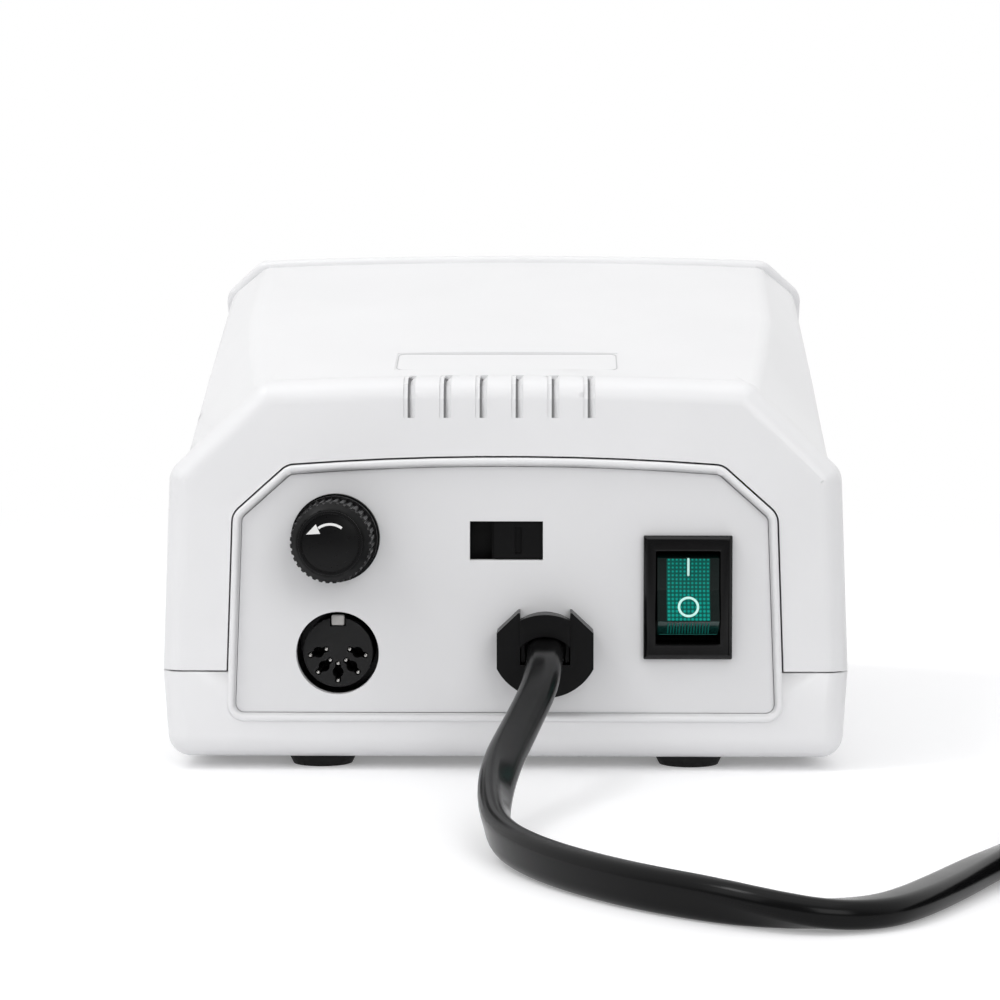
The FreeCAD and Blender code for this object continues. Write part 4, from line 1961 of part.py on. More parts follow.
def write_parts():
    os.makedirs("parts", exist_ok=True)
    for item in NODES:
        item.Shape.exportStep(f"parts/{item.Label}.step")
        box = item.Shape.BoundBox
        print(f"{item.Label}: {len(item.Shape.Solids)} solids, {item.Shape.Volume:.1f} mm3, "
              f"z {box.ZMin:.2f} to {box.ZMax:.2f}")


make_top_cover()
make_bottom_cover()
make_rear_panel()
make_feet()
make_case_screws()
make_panel_screws()
make_fuse_holder()
make_pedal_socket()
make_selector()
make_strain_relief()
make_power_switch()
make_front_panel()
make_small_switches()
make_speed_control()
make_handpiece_socket()
make_indicator()
make_transformer()
make_circuit_board()
make_mains_leads()
make_cord()
check_document()
write_parts()
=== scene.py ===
"""A nail drill's desk unit seen from its back, dressed for rendering.

The frame is the solid model's: metres, +Z up, -Y out of the back towards the camera,
+Y out of the sloping control panel. Sizes are in millimetres and become metres with MM.
"""

import json
import math
from functools import cache

import bmesh
import bpy
from mathutils import Matrix, Vector


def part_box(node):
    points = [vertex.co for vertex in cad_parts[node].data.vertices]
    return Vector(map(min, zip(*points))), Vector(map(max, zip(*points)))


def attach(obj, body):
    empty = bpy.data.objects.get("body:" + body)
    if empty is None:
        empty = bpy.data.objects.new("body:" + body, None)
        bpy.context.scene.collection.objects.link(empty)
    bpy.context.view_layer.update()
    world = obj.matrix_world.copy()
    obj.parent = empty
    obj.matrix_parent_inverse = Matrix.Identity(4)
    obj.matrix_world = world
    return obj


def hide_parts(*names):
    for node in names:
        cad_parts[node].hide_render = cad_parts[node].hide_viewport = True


bl_info = {
    "name": "Nail drill control unit",
    "version": (1, 0, 0),
    "blender": (4, 5, 0),
    "location": "3D View > Sidebar > Nail drill",
    "description": "Dresses the desk unit of a nail drill with its fittings, cord and finishes",
    "category": "Object",
}

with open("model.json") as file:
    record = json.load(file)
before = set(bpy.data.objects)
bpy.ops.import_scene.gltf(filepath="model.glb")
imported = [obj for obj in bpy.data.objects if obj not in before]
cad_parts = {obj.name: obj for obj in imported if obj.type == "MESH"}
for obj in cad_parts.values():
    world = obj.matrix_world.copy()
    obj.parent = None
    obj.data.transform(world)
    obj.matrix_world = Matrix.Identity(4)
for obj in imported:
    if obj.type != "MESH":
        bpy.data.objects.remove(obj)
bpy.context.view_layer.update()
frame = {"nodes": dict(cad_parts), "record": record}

MM = 0.001
REAR_EDGE = -69.0
PANEL_FACE = REAR_EDGE + 0.3
# The middle of the control panel, as forward and up, and the sine and cosine of its lean.
SLOPE_MIDDLE = (56.148, 52.276)
SLOPE_LEAN = (0.52357, 0.85199)
# How far printed marks stand up.
MARK_HEIGHT = 0.07


# Helpers for modelling


def lone(piece):
    """Makes a piece the only selected one, and the active one."""
    bpy.ops.object.select_all(action="DESELECT")
    piece.select_set(True)
    bpy.context.view_layer.objects.active = piece


def named_piece(name):
    """The primitive that was just added, under its own name."""
    piece = bpy.context.object
    piece.name = name
    piece.data.name = name
    return piece


def drum(name, radius, height, sides, middle=(0, 0, 0)):
    """A cylinder along the Z axis."""
    bpy.ops.object.select_all(action="DESELECT")
    bpy.ops.mesh.primitive_cylinder_add(vertices=sides, radius=radius * MM, depth=height * MM,
                                        location=Vector(middle) * MM)
    return named_piece(name)


def slab(name, width, depth, height, middle=(0, 0, 0)):
    """A block of a size about a middle."""
    bpy.ops.object.select_all(action="DESELECT")
    bpy.ops.mesh.primitive_cube_add(size=1, location=Vector(middle) * MM,
                                    scale=(width * MM, depth * MM, height * MM))
    return named_piece(name)


def rooted(piece):
    """Puts a piece's object at the origin, unturned and unscaled, with its place in its mesh."""
    lone(piece)
    bpy.ops.object.transform_apply(location=True, rotation=True, scale=True)


def edit(piece):
    """Opens a rooted piece for editing with all of it selected."""
    rooted(piece)
    bpy.ops.object.mode_set(mode="EDIT")
    bpy.ops.mesh.select_all(action="SELECT")


def pick(piece, kind, test):
    """Selects only the faces, edges or vertices that pass a test, in edit mode."""
    modes = {"faces": "FACE", "edges": "EDGE", "verts": "VERT"}
    bpy.ops.mesh.select_mode(type=modes[kind])
    bpy.ops.mesh.select_all(action="DESELECT")
    mesh = bmesh.from_edit_mesh(piece.data)
    mesh.normal_update()
    for item in getattr(mesh, kind):
        if test(item):
            item.select_set(True)
    mesh.select_flush_mode()
    bmesh.update_edit_mesh(piece.data)


def done():
    bpy.ops.object.mode_set(mode="OBJECT")


def worked(piece, kind, **settings):
    """Works a modifier into a piece's mesh."""
    lone(piece)
    modifier = piece.modifiers.new(kind.lower(), kind)
    for setting, value in settings.items():
        setattr(modifier, setting, value)
    bpy.ops.object.modifier_apply(modifier=modifier.name)
    return piece


def bevelled(piece, width, segments=2, angle=35):
    """Rounds a piece's sharper edges."""
    return worked(piece, "BEVEL", width=width * MM, segments=segments, limit_method="ANGLE",
                  angle_limit=math.radians(angle))


def rounded_along(piece, axis, radius):
    """Rounds the edges of a block that run along one axis."""
    edit(piece)
    pick(piece, "edges",
         lambda edge: abs(edge.verts[0].co[axis] - edge.verts[1].co[axis]) > 1e-6)
    bpy.ops.mesh.bevel(offset=radius * MM, segments=6)
    done()
    return piece


def joined(name, pieces):
    """One piece made of several."""
    lone(pieces[0])
    for piece in pieces:
        piece.select_set(True)
    bpy.ops.object.join()
    return named_piece(name)


def carved(piece, tool, how="DIFFERENCE"):
    """Cuts a piece by a tool, or keeps only what both share, and takes the tool away."""
    rooted(piece)
    worked(piece, "BOOLEAN", operation=how, solver="EXACT", object=tool)
    bpy.data.objects.remove(tool)
    return piece


def copied(piece, name):
    """A copy of a piece with its own mesh."""
    lone(piece)
    bpy.ops.object.duplicate()
    return named_piece(name)


def merged(piece, distance=0.002):
    """Merges a piece's doubles and points its faces outwards."""
    edit(piece)
    bpy.ops.mesh.remove_doubles(threshold=distance * MM)
    bpy.ops.mesh.normals_make_consistent(inside=False)
    done()
    return piece


def smooth(piece, angle):
    lone(piece)
    bpy.ops.object.shade_smooth_by_angle(angle=math.radians(angle))


def moved(piece, place):
    """Moves a piece's mesh by a place matrix or by millimetres across, along and up."""
    if not isinstance(place, Matrix):
        place = lifted(*place)
    rooted(piece)
    piece.data.transform(place)
    return piece


def settle(piece, body, material, place=Matrix(), angle=35):
    """Puts a finished piece in its place on its body, shaded and with its finish."""
    moved(piece, place)
    smooth(piece, angle)
    piece.data.materials.clear()
    piece.data.materials.append(material)
    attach(piece, body)
    return piece


def hoop(name, outer, inner, height, sides, span=None):
    """A flat ring about the Z axis, standing on its origin, or the part of it in a span."""
    bpy.ops.object.select_all(action="DESELECT")
    bpy.ops.mesh.primitive_circle_add(vertices=sides, radius=outer * MM)
    piece = named_piece(name)
    edit(piece)
    bpy.ops.mesh.extrude_edges_move()
    share = inner / outer
    bpy.ops.transform.resize(value=(share, share, 1), center_override=(0, 0, 0))
    if span is not None:
        low, high = span
        pick(piece, "verts", lambda vert: not low <= bearing(vert.co) <= high)
        bpy.ops.mesh.delete(type="VERT")
    bpy.ops.mesh.select_all(action="SELECT")
    bpy.ops.mesh.extrude_region_move(TRANSFORM_OT_translate={"value": (0, 0, height * MM)})
    bpy.ops.mesh.select_all(action="SELECT")
    bpy.ops.mesh.normals_make_consistent(inside=False)
    done()
    return piece


def off_mark(name, radius, stroke):
    """A ring, for off."""
    return hoop(name, radius, radius - stroke, MARK_HEIGHT, 48)


def on_mark(name, length, stroke):
    """A bar with round ends along Y, for on."""
    bar = slab(name, stroke, length, MARK_HEIGHT, (0, 0, MARK_HEIGHT / 2))
    return rounded_along(bar, 2, stroke * 0.48)


def bearing(place):
    """The direction of a place about the Z axis, in degrees from 0 to 360."""
    return math.degrees(math.atan2(place.y, place.x)) % 360


def around(degrees, radius):
    """The place at a direction and a distance about the Z axis, across and up."""
    turn = math.radians(degrees)
    return math.cos(turn) * radius, math.sin(turn) * radius


def leaning(degrees):
    """A turn about the X axis."""
    return Matrix.Rotation(math.radians(degrees), 4, "X")


def turning(degrees):
    """A turn about the Z axis."""
    return Matrix.Rotation(math.radians(degrees), 4, "Z")


def lifted(x, y, z):
    """A move in millimetres."""
    return Matrix.Translation(Vector((x, y, z)) * MM)


def on_back(x, z):
    """A place on the rear panel: X across, Y up, and Z out of the panel."""
    return Matrix((
        (1, 0, 0, x * MM),
        (0, 0, -1, PANEL_FACE * MM),
        (0, 1, 0, z * MM),
        (0, 0, 0, 1),
    ))


def on_slope(across, up):
    """A place on the control panel: X across to the user's right, Y up it, and Z out of it."""
    sine, cosine = SLOPE_LEAN
    return Matrix((
        (-1, 0, 0, -across * MM),
        (0, -sine, cosine, (SLOPE_MIDDLE[0] - sine * up) * MM),
        (0, cosine, sine, (SLOPE_MIDDLE[1] + cosine * up) * MM),
        (0, 0, 0, 1),
    ))


# Helpers for finishes


def new_finish(name):
    """An empty finish with its shader."""
    material = bpy.data.materials.new(name)
    material.use_nodes = True
    nodes, links = material.node_tree.nodes, material.node_tree.links
    return material, nodes, links, nodes["Principled BSDF"]


def added(nodes, kind, **inputs):
    """A new node with some inputs set, each under its name with _ for a space."""
    node = nodes.new(f"ShaderNode{kind}")
    for name, value in inputs.items():
        node.inputs[name.replace("_", " ")].default_value = value
    return node


def own_place(nodes):
    """The place on the piece that patterns are read from."""
    return nodes.new("ShaderNodeTexCoord").outputs["Object"]


def relief(nodes, links, shader, pattern, height, strength):
    """Raises a pattern on the surface, by a height in millimetres."""
    bump = added(nodes, "Bump", Strength=strength, Distance=height * MM)
    links.new(pattern, bump.inputs["Height"])
    links.new(bump.outputs["Normal"], shader.inputs["Normal"])


def grain(nodes, links, shader, size, height, detail=3.0, stretch=(1, 1, 1)):
    """Fine relief of a grain size in millimetres. Gives its pattern back."""
    mapping = added(nodes, "Mapping", Scale=stretch)
    noise = added(nodes, "TexNoise", Scale=1 / (size * MM), Detail=detail)
    links.new(own_place(nodes), mapping.inputs["Vector"])
    links.new(mapping.outputs["Vector"], noise.inputs["Vector"])
    relief(nodes, links, shader, noise.outputs["Fac"], height, 0.6)
    return noise.outputs["Fac"]


def cloud(nodes, links, size):
    """Soft, wide variation of a size in millimetres."""
    noise = added(nodes, "TexNoise", Scale=1 / (size * MM), Detail=2.0)
    links.new(own_place(nodes), noise.inputs["Vector"])
    return noise.outputs["Fac"]


def vary(nodes, links, source, socket, low, high):
    """Drives a socket with a pattern, between two values or two colours."""
    if isinstance(low, (int, float)):
        spread = added(nodes, "MapRange", From_Min=0.3, From_Max=0.7, To_Min=low, To_Max=high)
        links.new(source, spread.inputs["Value"])
        links.new(spread.outputs["Result"], socket)
        return
    ramp = nodes.new("ShaderNodeValToRGB")
    for end, position, colour in zip(ramp.color_ramp.elements, (0.3, 0.7), (low, high)):
        end.position = position
        end.color = (*colour, 1)
    links.new(source, ramp.inputs["Fac"])
    links.new(ramp.outputs["Color"], socket)


def shade(colour, factor):
    return tuple(min(channel * factor, 1) for channel in colour)


def moulded(name, colour, roughness, grain_size, grain_height, coat=0.0, gloss=0.5):
    """Moulded plastic: a fine sparked grain, faint flow clouds and uneven gloss."""
    material, nodes, links, shader = new_finish(name)
    pattern = grain(nodes, links, shader, grain_size, grain_height)
    vary(nodes, links, pattern, shader.inputs["Roughness"],
         roughness * 0.9, min(roughness * 1.1, 1))
    vary(nodes, links, cloud(nodes, links, 28), shader.inputs["Base Color"],
         shade(colour, 0.985), shade(colour, 1.015))
    shader.inputs["Specular IOR Level"].default_value = gloss
    shader.inputs["Coat Weight"].default_value = coat
    shader.inputs["Coat Roughness"].default_value = 0.12
    return material


def streaked(name, colour, roughness, metallic, stretch, size, height):
    """Metal with fine drawn or rolled streaks along one direction, and uneven shine."""
    material, nodes, links, shader = new_finish(name)
    pattern = grain(nodes, links, shader, size, height, 4.0, stretch)
    vary(nodes, links, pattern, shader.inputs["Roughness"],
         roughness * 0.75, min(roughness * 1.35, 1))
    vary(nodes, links, cloud(nodes, links, 6), shader.inputs["Base Color"],
         shade(colour, 0.9), shade(colour, 1.06))
    shader.inputs["Metallic"].default_value = metallic
    return material


def banded(name, colours, roughness, pitch, direction, height, wobble=0.6, metallic=0.0):
    """Thin layers that show as lines across one direction, such as sheets or tape."""
    material, nodes, links, shader = new_finish(name)
    # A wave repeats every 2 pi / 20 of its scale.
    bands = added(nodes, "TexWave", Scale=math.tau / 20 / (pitch * MM), Distortion=wobble,
                  Detail_Scale=2.0)
    bands.bands_direction = direction
    links.new(own_place(nodes), bands.inputs["Vector"])
    vary(nodes, links, bands.outputs["Fac"], shader.inputs["Base Color"], *colours)
    relief(nodes, links, shader, bands.outputs["Fac"], height, 0.7)
    vary(nodes, links, cloud(nodes, links, 5), shader.inputs["Roughness"],
         roughness * 0.8, min(roughness * 1.2, 1))
    shader.inputs["Metallic"].default_value = metallic
    return material


# The height over which painted shade darkens a lens upwards, where it does.
LENS_PAINTED_SHADE_HEIGHT = 12.0


def lens(name, colour, depth_colour, pitch, roughness, transmission, painted_shade_from=None):
    """Clear coloured plastic with a grid of small prisms moulded into its inner side.

    It darkens upwards with painted shade from a height in millimetres, where one is given.
    """
    material, nodes, links, shader = new_finish(name)
    parts = nodes.new("ShaderNodeSeparateXYZ")
    flat = nodes.new("ShaderNodeCombineXYZ")
    cells = nodes.new("ShaderNodeTexVoronoi")
    cells.voronoi_dimensions = "2D"
    cells.inputs["Scale"].default_value = 1 / (pitch * MM)
    cells.inputs["Randomness"].default_value = 0.0
    links.new(own_place(nodes), parts.inputs["Vector"])
    links.new(parts.outputs["X"], flat.inputs["X"])
    links.new(parts.outputs["Z"], flat.inputs["Y"])
    links.new(flat.outputs["Vector"], cells.inputs["Vector"])
    spread = added(nodes, "MapRange", From_Min=0.1, From_Max=0.6)
    links.new(cells.outputs["Distance"], spread.inputs["Value"])
    pattern = spread.outputs["Result"]
    # Painted shade: the colour runs towards the deep colour upwards from the given height.
    if painted_shade_from is not None:
        dimming = added(nodes, "MapRange", From_Min=painted_shade_from * MM,
                        From_Max=(painted_shade_from + LENS_PAINTED_SHADE_HEIGHT) * MM, To_Max=0.3)
        deeper = nodes.new("ShaderNodeMath")
        links.new(parts.outputs["Z"], dimming.inputs["Value"])
        links.new(pattern, deeper.inputs[0])
        links.new(dimming.outputs["Result"], deeper.inputs[1])
        pattern = deeper.outputs[0]
    vary(nodes, links, pattern, shader.inputs["Base Color"], colour, depth_colour)
    vary(nodes, links, cloud(nodes, links, 1.2), shader.inputs["Roughness"],
         roughness * 0.7, roughness * 1.3)
    shader.inputs["Transmission Weight"].default_value = transmission
    shader.inputs["IOR"].default_value = 1.49
    shader.inputs["Specular IOR Level"].default_value = 0.25
    return material


# Finishes


@cache
def case_white():
    """White moulded casing: satin, with a very fine sparked grain."""
    colour = bpy.context.scene.nail_drill_colours.casing
    return moulded("case_white", colour, 0.36, 0.28, 0.006, 0.12)


@cache
def panel_white():
    """The insert panels: the same white, a shade greyer and more matt."""
    return moulded("panel_white", bpy.context.scene.nail_drill_colours.panel, 0.46, 0.22, 0.008)


@cache
def black_plastic():
    return moulded("black_plastic", (0.004, 0.004, 0.0043), 0.34, 0.25, 0.004, 0.0, 0.15)


@cache
def black_gloss():
    """Glossy black phenolic, with the faint orange peel of a polished mould."""
    return moulded("black_gloss", (0.003, 0.003, 0.0033), 0.15, 1.4, 0.004, 0.0, 0.27)


@cache
def black_sheath():
    """The cord's smooth black sheath, with faint drawing lines."""
    return moulded("black_sheath", (0.004, 0.004, 0.0042), 0.2, 2.4, 0.003, 0.0, 0.13)


@cache
def inlay_black():
    return moulded("inlay_black", (0.004, 0.004, 0.0043), 0.3, 0.7, 0.004, 0.0, 0.17)


@cache
def socket_black():
    """The matt black moulding that carries the pedal socket's contacts."""
    return moulded("socket_black", (0.01, 0.01, 0.0103), 0.5, 0.25, 0.008, 0.0, 0.25)


@cache
def knob_grey():
    return moulded("knob_grey", bpy.context.scene.nail_drill_colours.knob, 0.48, 0.2, 0.012)


@cache
def foot_rubber():
    return moulded("foot_rubber", (0.006, 0.006, 0.006), 0.6, 0.35, 0.02, 0.0, 0.25)


@cache
def green_lens():
    # The window's upper part is darkened with painted shade.
    return lens("green_lens", (0.001, 0.3, 0.24), (0.0, 0.085, 0.068), 0.66, 0.12, 0.0, 27.0)


@cache
def smoked_lens():
    """The rocker's clear cap: so dark a green that it reads as glossy black."""
    return moulded("smoked_lens", (0.001, 0.006, 0.005), 0.12, 1.6, 0.003, 0.0, 0.35)


@cache
def rib_green():
    return moulded("rib_green", (0.008, 0.12, 0.098), 0.22, 0.5, 0.004, 0.0, 0.3)


@cache
def lip_green():
    """The rocker's ribbed lower end, where the clear cap is thick and dark."""
    return moulded("lip_green", (0.004, 0.028, 0.024), 0.16, 0.8, 0.003, 0.0, 0.5)


@cache
def red_lens():
    return lens("red_lens", (0.6, 0.02, 0.02), (0.3, 0.004, 0.004), 0.8, 0.12, 0.5)


@cache
def mint_print():
    return moulded("mint_print", (0.55, 0.9, 0.83), 0.35, 0.5, 0.003)


@cache
def white_print():
    """White pad print: a thin, slightly uneven ink."""
    return moulded("white_print", (0.78, 0.78, 0.77), 0.5, 0.5, 0.004)


@cache
def grey_print():
    """Dark grey pad print on the white panel."""
    return moulded("grey_print", (0.06, 0.06, 0.062), 0.55, 0.5, 0.004)


@cache
def vent_shade():
    """Painted shade: a grey strip that stands in for the shaded gap of a vent."""
    return moulded("vent_shade", (0.26, 0.26, 0.265), 0.8, 0.4, 0.004, 0.0, 0.1)


@cache
def seam_grey():
    """Painted shade: a grey hairline around the bare name recess, where its edge is shaded."""
    return moulded("seam_grey", (0.55, 0.55, 0.56), 0.6, 0.4, 0.003)


@cache
def can_sleeve():
    return moulded("can_sleeve", (0.012, 0.018, 0.06), 0.22, 2.0, 0.03, 0.2)


@cache
def connector_white():
    return moulded("connector_white", (0.72, 0.69, 0.6), 0.42, 0.4, 0.01)


@cache
def bright_steel():
    return streaked("bright_steel", (0.62, 0.62, 0.64), 0.24, 1.0, (1, 6, 1), 0.9, 0.004)


@cache
def dark_shell():
    return streaked("dark_shell", (0.035, 0.035, 0.037), 0.32, 0.6, (1, 1, 5), 0.8, 0.006)


@cache
def brass_contacts():
    return streaked("brass_contacts", (0.72, 0.55, 0.26), 0.26, 1.0, (1, 8, 1), 0.7, 0.004)


@cache
def sink_aluminium():
    return streaked("sink_aluminium", (0.55, 0.55, 0.57), 0.38, 1.0, (6, 6, 0.2), 0.8, 0.01)


@cache
def nickel():
    """Nickel plated spring contacts, made duller and darker than plain plated metal as painted
    shade of their deep slots.
    """
    return streaked("nickel", (0.5, 0.49, 0.47), 0.28, 1.0, (1, 1, 6), 0.4, 0.004)


@cache
def key_tin():
    """The tinned key spring: matt and pale."""
    return streaked("key_tin", (0.42, 0.41, 0.4), 0.55, 0.4, (6, 1, 1), 0.5, 0.006)


@cache
def core_steel():
    return banded("core_steel", ((0.045, 0.045, 0.048), (0.2, 0.2, 0.21)), 0.42, 0.5, "X",
                  0.08, 0.5, 0.6)


@cache
def winding_tape():
    return banded("winding_tape", ((0.5, 0.33, 0.03), (0.66, 0.47, 0.07)), 0.2, 3.1, "Z",
                  0.06, 1.5)


@cache
def strap_web():
    """The woven strap that holds the coil: dark ribs across its length."""
    return banded("strap_web", ((0.02, 0.02, 0.022), (0.05, 0.05, 0.055)), 0.75, 0.6, "Z",
                  0.06, 0.3)


@cache
def clear_glass():
    """Clear tube glass, with faint drawing lines along it."""
    material, nodes, links, shader = new_finish("clear_glass")
    pattern = grain(nodes, links, shader, 1.2, 0.003, 2.0, (1, 0.1, 1))
    vary(nodes, links, pattern, shader.inputs["Roughness"], 0.01, 0.05)
    vary(nodes, links, cloud(nodes, links, 8), shader.inputs["Base Color"],
         (0.9, 0.95, 0.94), (0.97, 0.99, 0.98))
    shader.inputs["Transmission Weight"].default_value = 1.0
    shader.inputs["IOR"].default_value = 1.5
    return material


@cache
def board_green():
    """Solder mask over copper tracks, which stand up through it as paler green lines."""
    material, nodes, links, shader = new_finish("board_green")
    tracks = added(nodes, "TexBrick", Scale=1 / (9 * MM), Mortar_Size=0.05, Mortar_Smooth=0.3,
                   Color1=(0.012, 0.1, 0.045, 1), Color2=(0.016, 0.115, 0.05, 1),
                   Mortar=(0.05, 0.24, 0.11, 1))
    links.new(own_place(nodes), tracks.inputs["Vector"])
    links.new(tracks.outputs["Color"], shader.inputs["Base Color"])
    relief(nodes, links, shader, tracks.outputs["Fac"], 0.04, 0.6)
    vary(nodes, links, cloud(nodes, links, 4), shader.inputs["Roughness"], 0.22, 0.32)
    return material


FINISHES = {
    "case_white": case_white, "panel_white": panel_white, "black_plastic": black_plastic,
    "black_gloss": black_gloss, "green_lens": green_lens, "red_lens": red_lens,
    "knob_grey": knob_grey, "foot_rubber": foot_rubber, "cord_black": black_sheath,
    "bright_steel": bright_steel, "dark_shell": dark_shell, "brass_contacts": brass_contacts,
    "clear_glass": clear_glass, "core_steel": core_steel, "winding_tape": winding_tape,
    "board_green": board_green, "sink_aluminium": sink_aluminium, "can_sleeve": can_sleeve,
    "connector_white": connector_white,
}


# Camera

CAMERA_PLACE = (8.24, -540.3, 76.3)
CAMERA_LENS = 100.6
CAMERA_DOWN = 3.65
CAMERA_LEFT = 1.095
SENSOR = 36.0


class CameraOperator(bpy.types.Operator):
    """Puts the camera behind the unit and a little above it"""

    bl_idname = "nail_drill.camera"
    bl_label = "Camera"

    def execute(self, context):
        data = bpy.data.cameras.new("camera")
        camera = bpy.data.objects.new("camera", data)
        context.scene.collection.objects.link(camera)
        data.lens = CAMERA_LENS
        data.sensor_width = SENSOR
        data.clip_start = 0.01
        data.clip_end = 20.0
        camera.location = Vector(CAMERA_PLACE) * MM
        camera.rotation_euler = (math.radians(90 - CAMERA_DOWN), 0, math.radians(CAMERA_LEFT))
        context.scene.camera = camera
        return {"FINISHED"}


# Cord

CORD_ROUTE = [
    (7.0, 0.3, 21.6), (7.1, -11.5, 21.6), (6.2, -24.0, 17.6), (3.0, -37.0, 12.8),
    (0.2, -51.0, 9.0), (-0.6, -66.0, 5.6), (0.6, -80.5, 3.6), (6.9, -95.5, 3.16),
    (17.2, -110.0, 3.12), (28.0, -119.6, 3.06), (35.8, -123.9, 2.72), (42.8, -124.6, 2.2),
    (49.2, -122.2, 1.98), (54.2, -116.2, 1.96), (60.2, -106.0, 1.97), (65.8, -95.7, 2.06),
    (71.6, -86.4, 2.32), (77.1, -76.4, 2.85), (83.2, -66.4, 3.72),
]
# How far the cord's broad side has rolled from lying flat, at each place of its route.
CORD_ROLL = [0, 0, 0, -8, -30, -62, -84, -92, -92, -76, -38, -8, 0, 0, 0, -5, -18, -40, -65]
COIL_ROLL = -90
TAIL_ROUTE = [
    (9.6, 6.9, -2.5), (18.2, 15.4, -5.7), (23.6, 28.0, -6.6), (25.8, 42.0, -3.7),
    (26.0, 56.0, -3.22),
]
TAIL_ROLL = [-75, -45, -15, 0, 0]
COIL_TURNS = 5.083
COIL_INNER_RADIUS = 29.0
COIL_PITCH = 5.6
COIL_RISE = 6.5
COIL_POINTS = 16
COIL_LEAD = 5.0


def coil_place(swept, entry_angle, swell=1.0):
    """A place on the put-away coil, by the angle that its turns have swept in degrees.

    The first half winds inwards on the table, and the second half outwards on top of it.
    """
    off = abs(swept - COIL_TURNS * 180)
    spread = off - 45 if off > 90 else off * off / 180
    radius = (COIL_INNER_RADIUS + COIL_PITCH * spread / 360) * swell
    share = min(max((swept - COIL_TURNS * 180 + 90) / 180, 0), 1)
    lift = COIL_RISE * share * share * (3 - 2 * share)
    return Vector((*around(entry_angle - swept, radius), lift))


def level(way):
    """A way along the table, one long."""
    way.z = 0
    way.normalize()
    return way


def coil_stand():
    """The way that the cord runs into its coil, the coil's middle and its entry's angle."""
    route = [Vector((x, REAR_EDGE + forward, z)) for x, forward, z in CORD_ROUTE]
    heading = level(route[-1] - route[-2])
    entry_angle = math.degrees(math.atan2(heading.x, -heading.y))
    start = route[-1] + heading * COIL_LEAD
    return route, start - coil_place(0, entry_angle), entry_angle


def cord_places():
    """The control points of the whole cord, each with the roll of its flat section."""
    route, centre, entry_angle = coil_stand()
    steps = round(COIL_TURNS * COIL_POINTS)
    swell = 1 / math.cos(math.pi / COIL_POINTS)
    turns = [centre + coil_place(COIL_TURNS * 360 * i / steps, entry_angle,
                                 swell if 0 < i < steps else 1) for i in range(steps + 1)]
    leaving = level(coil_place(COIL_TURNS * 360, entry_angle)
                    - coil_place(COIL_TURNS * 360 - 1, entry_angle))
    end = turns[-1] + leaving * COIL_LEAD
    first_bend = end + leaving * Vector(TAIL_ROUTE[0]).length
    tail = [first_bend] + [first_bend + Vector(step) for step in TAIL_ROUTE]
    places = list(zip(route, CORD_ROLL))
    places += [(place, COIL_ROLL) for place in turns]
    places += list(zip(tail, [COIL_ROLL + 5] + TAIL_ROLL))
    return places


class CordOperator(bpy.types.Operator):
    """Lays the flat mains cord from its clamp along the table to its coil and plug"""

    bl_idname = "nail_drill.cord"
    bl_label = "Mains cord"

    def execute(self, context):
        sizes = context.scene.nail_drill_cord
        places = cord_places()
        curve = bpy.data.curves.new("mains_cord", "CURVE")
        curve.dimensions = "3D"
        curve.twist_mode = "Z_UP"
        curve.resolution_u = 8
        spline = curve.splines.new("NURBS")
        spline.points.add(len(places) - 1)
        for point, (place, roll) in zip(spline.points, places):
            point.co = (*(place * MM), 1)
            point.tilt = math.radians(90 + roll)
        spline.order_u = 3
        spline.use_endpoint_u = True
        curve.extrude = (sizes.width - sizes.thickness) / 2
        curve.bevel_depth = sizes.thickness / 2
        curve.bevel_resolution = 5
        curve.use_fill_caps = True
        cord = bpy.data.objects.new("mains_cord", curve)
        context.scene.collection.objects.link(cord)
        curve.materials.append(black_sheath())
        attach(cord, "case")
        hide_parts("power_cord", "cord_coil", "cord_tail")
        return {"FINISHED"}


# Casing

# The parts whose edges are rounded, with the width of each rounding.
ROUNDED = {"strain_relief_base": 0.35, "strain_relief_clamp": 0.2, "selector_housing": 0.15,
           "power_switch_housing": 0.2, "direction_switch_housing": 0.2,
           "mode_switch_housing": 0.2, "selector_slider": 0.12}
COVERS = ("top_cover", "bottom_cover", "rear_panel", "front_panel", "fuse_cap",
          "fuse_holder_body", "speed_knob", "rubber_feet", "plug_body",
          "handpiece_socket_shell", "power_indicator", "plug_pins", *ROUNDED)
# The angle from which an edge stays sharp, and a wider one for the bead of the rear frame.
CREASE = 16
BEAD_CREASE = 38


def skin_of(node):
    """A merged copy of a moulded part, so that its curves shade smoothly."""
    piece = bpy.data.objects.new(f"{node}_skin", frame["nodes"][node].data.copy())
    bpy.context.scene.collection.objects.link(piece)
    merged(piece, 0.001)
    if node in ROUNDED:
        bevelled(piece, ROUNDED[node], 2, 40)
    smooth(piece, BEAD_CREASE if node == "bottom_cover" else CREASE)
    # The large faces lead the shading, so that the flat ones stay flat.
    return worked(piece, "WEIGHTED_NORMAL", keep_sharp=True)


class FinishOperator(bpy.types.Operator):
    """Gives every part of the unit its finish, and the moulded covers a smooth skin"""

    bl_idname = "nail_drill.finishes"
    bl_label = "Finishes"

    def execute(self, context):
        slots = {part["node"]: part["material_slot"] for part in frame["record"]["subparts"]}
        for node, piece in frame["nodes"].items():
            finish = FINISHES[slots[node]]()
            if node == "power_rocker":
                finish = smoked_lens()
            piece.data.materials.clear()
            piece.data.materials.append(finish)
        body_of = {}
        for body, members in frame["record"]["behaviour"]["bodies"].items():
            for node in members:
                body_of[node] = body
        for node in COVERS:
            skin = skin_of(node)
            skin.data.materials.clear()
            skin.data.materials.append(FINISHES[slots[node]]())
            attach(skin, body_of[node])
            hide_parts(node)
        return {"FINISHED"}


# Power switch

SWITCH_PLACE = (31.0, 29.8)
PIVOT_SINK = 4.9
ROCKER_ARM = 8.0
ROCKER_CREST = 5.35
ROCKER_TILT = 11.0
ROCKER_WIDTH = 10.3
WINDOW_WIDTH = 7.3
WINDOW_EDGE = 0.12
PANE = (0.1, 0.03)
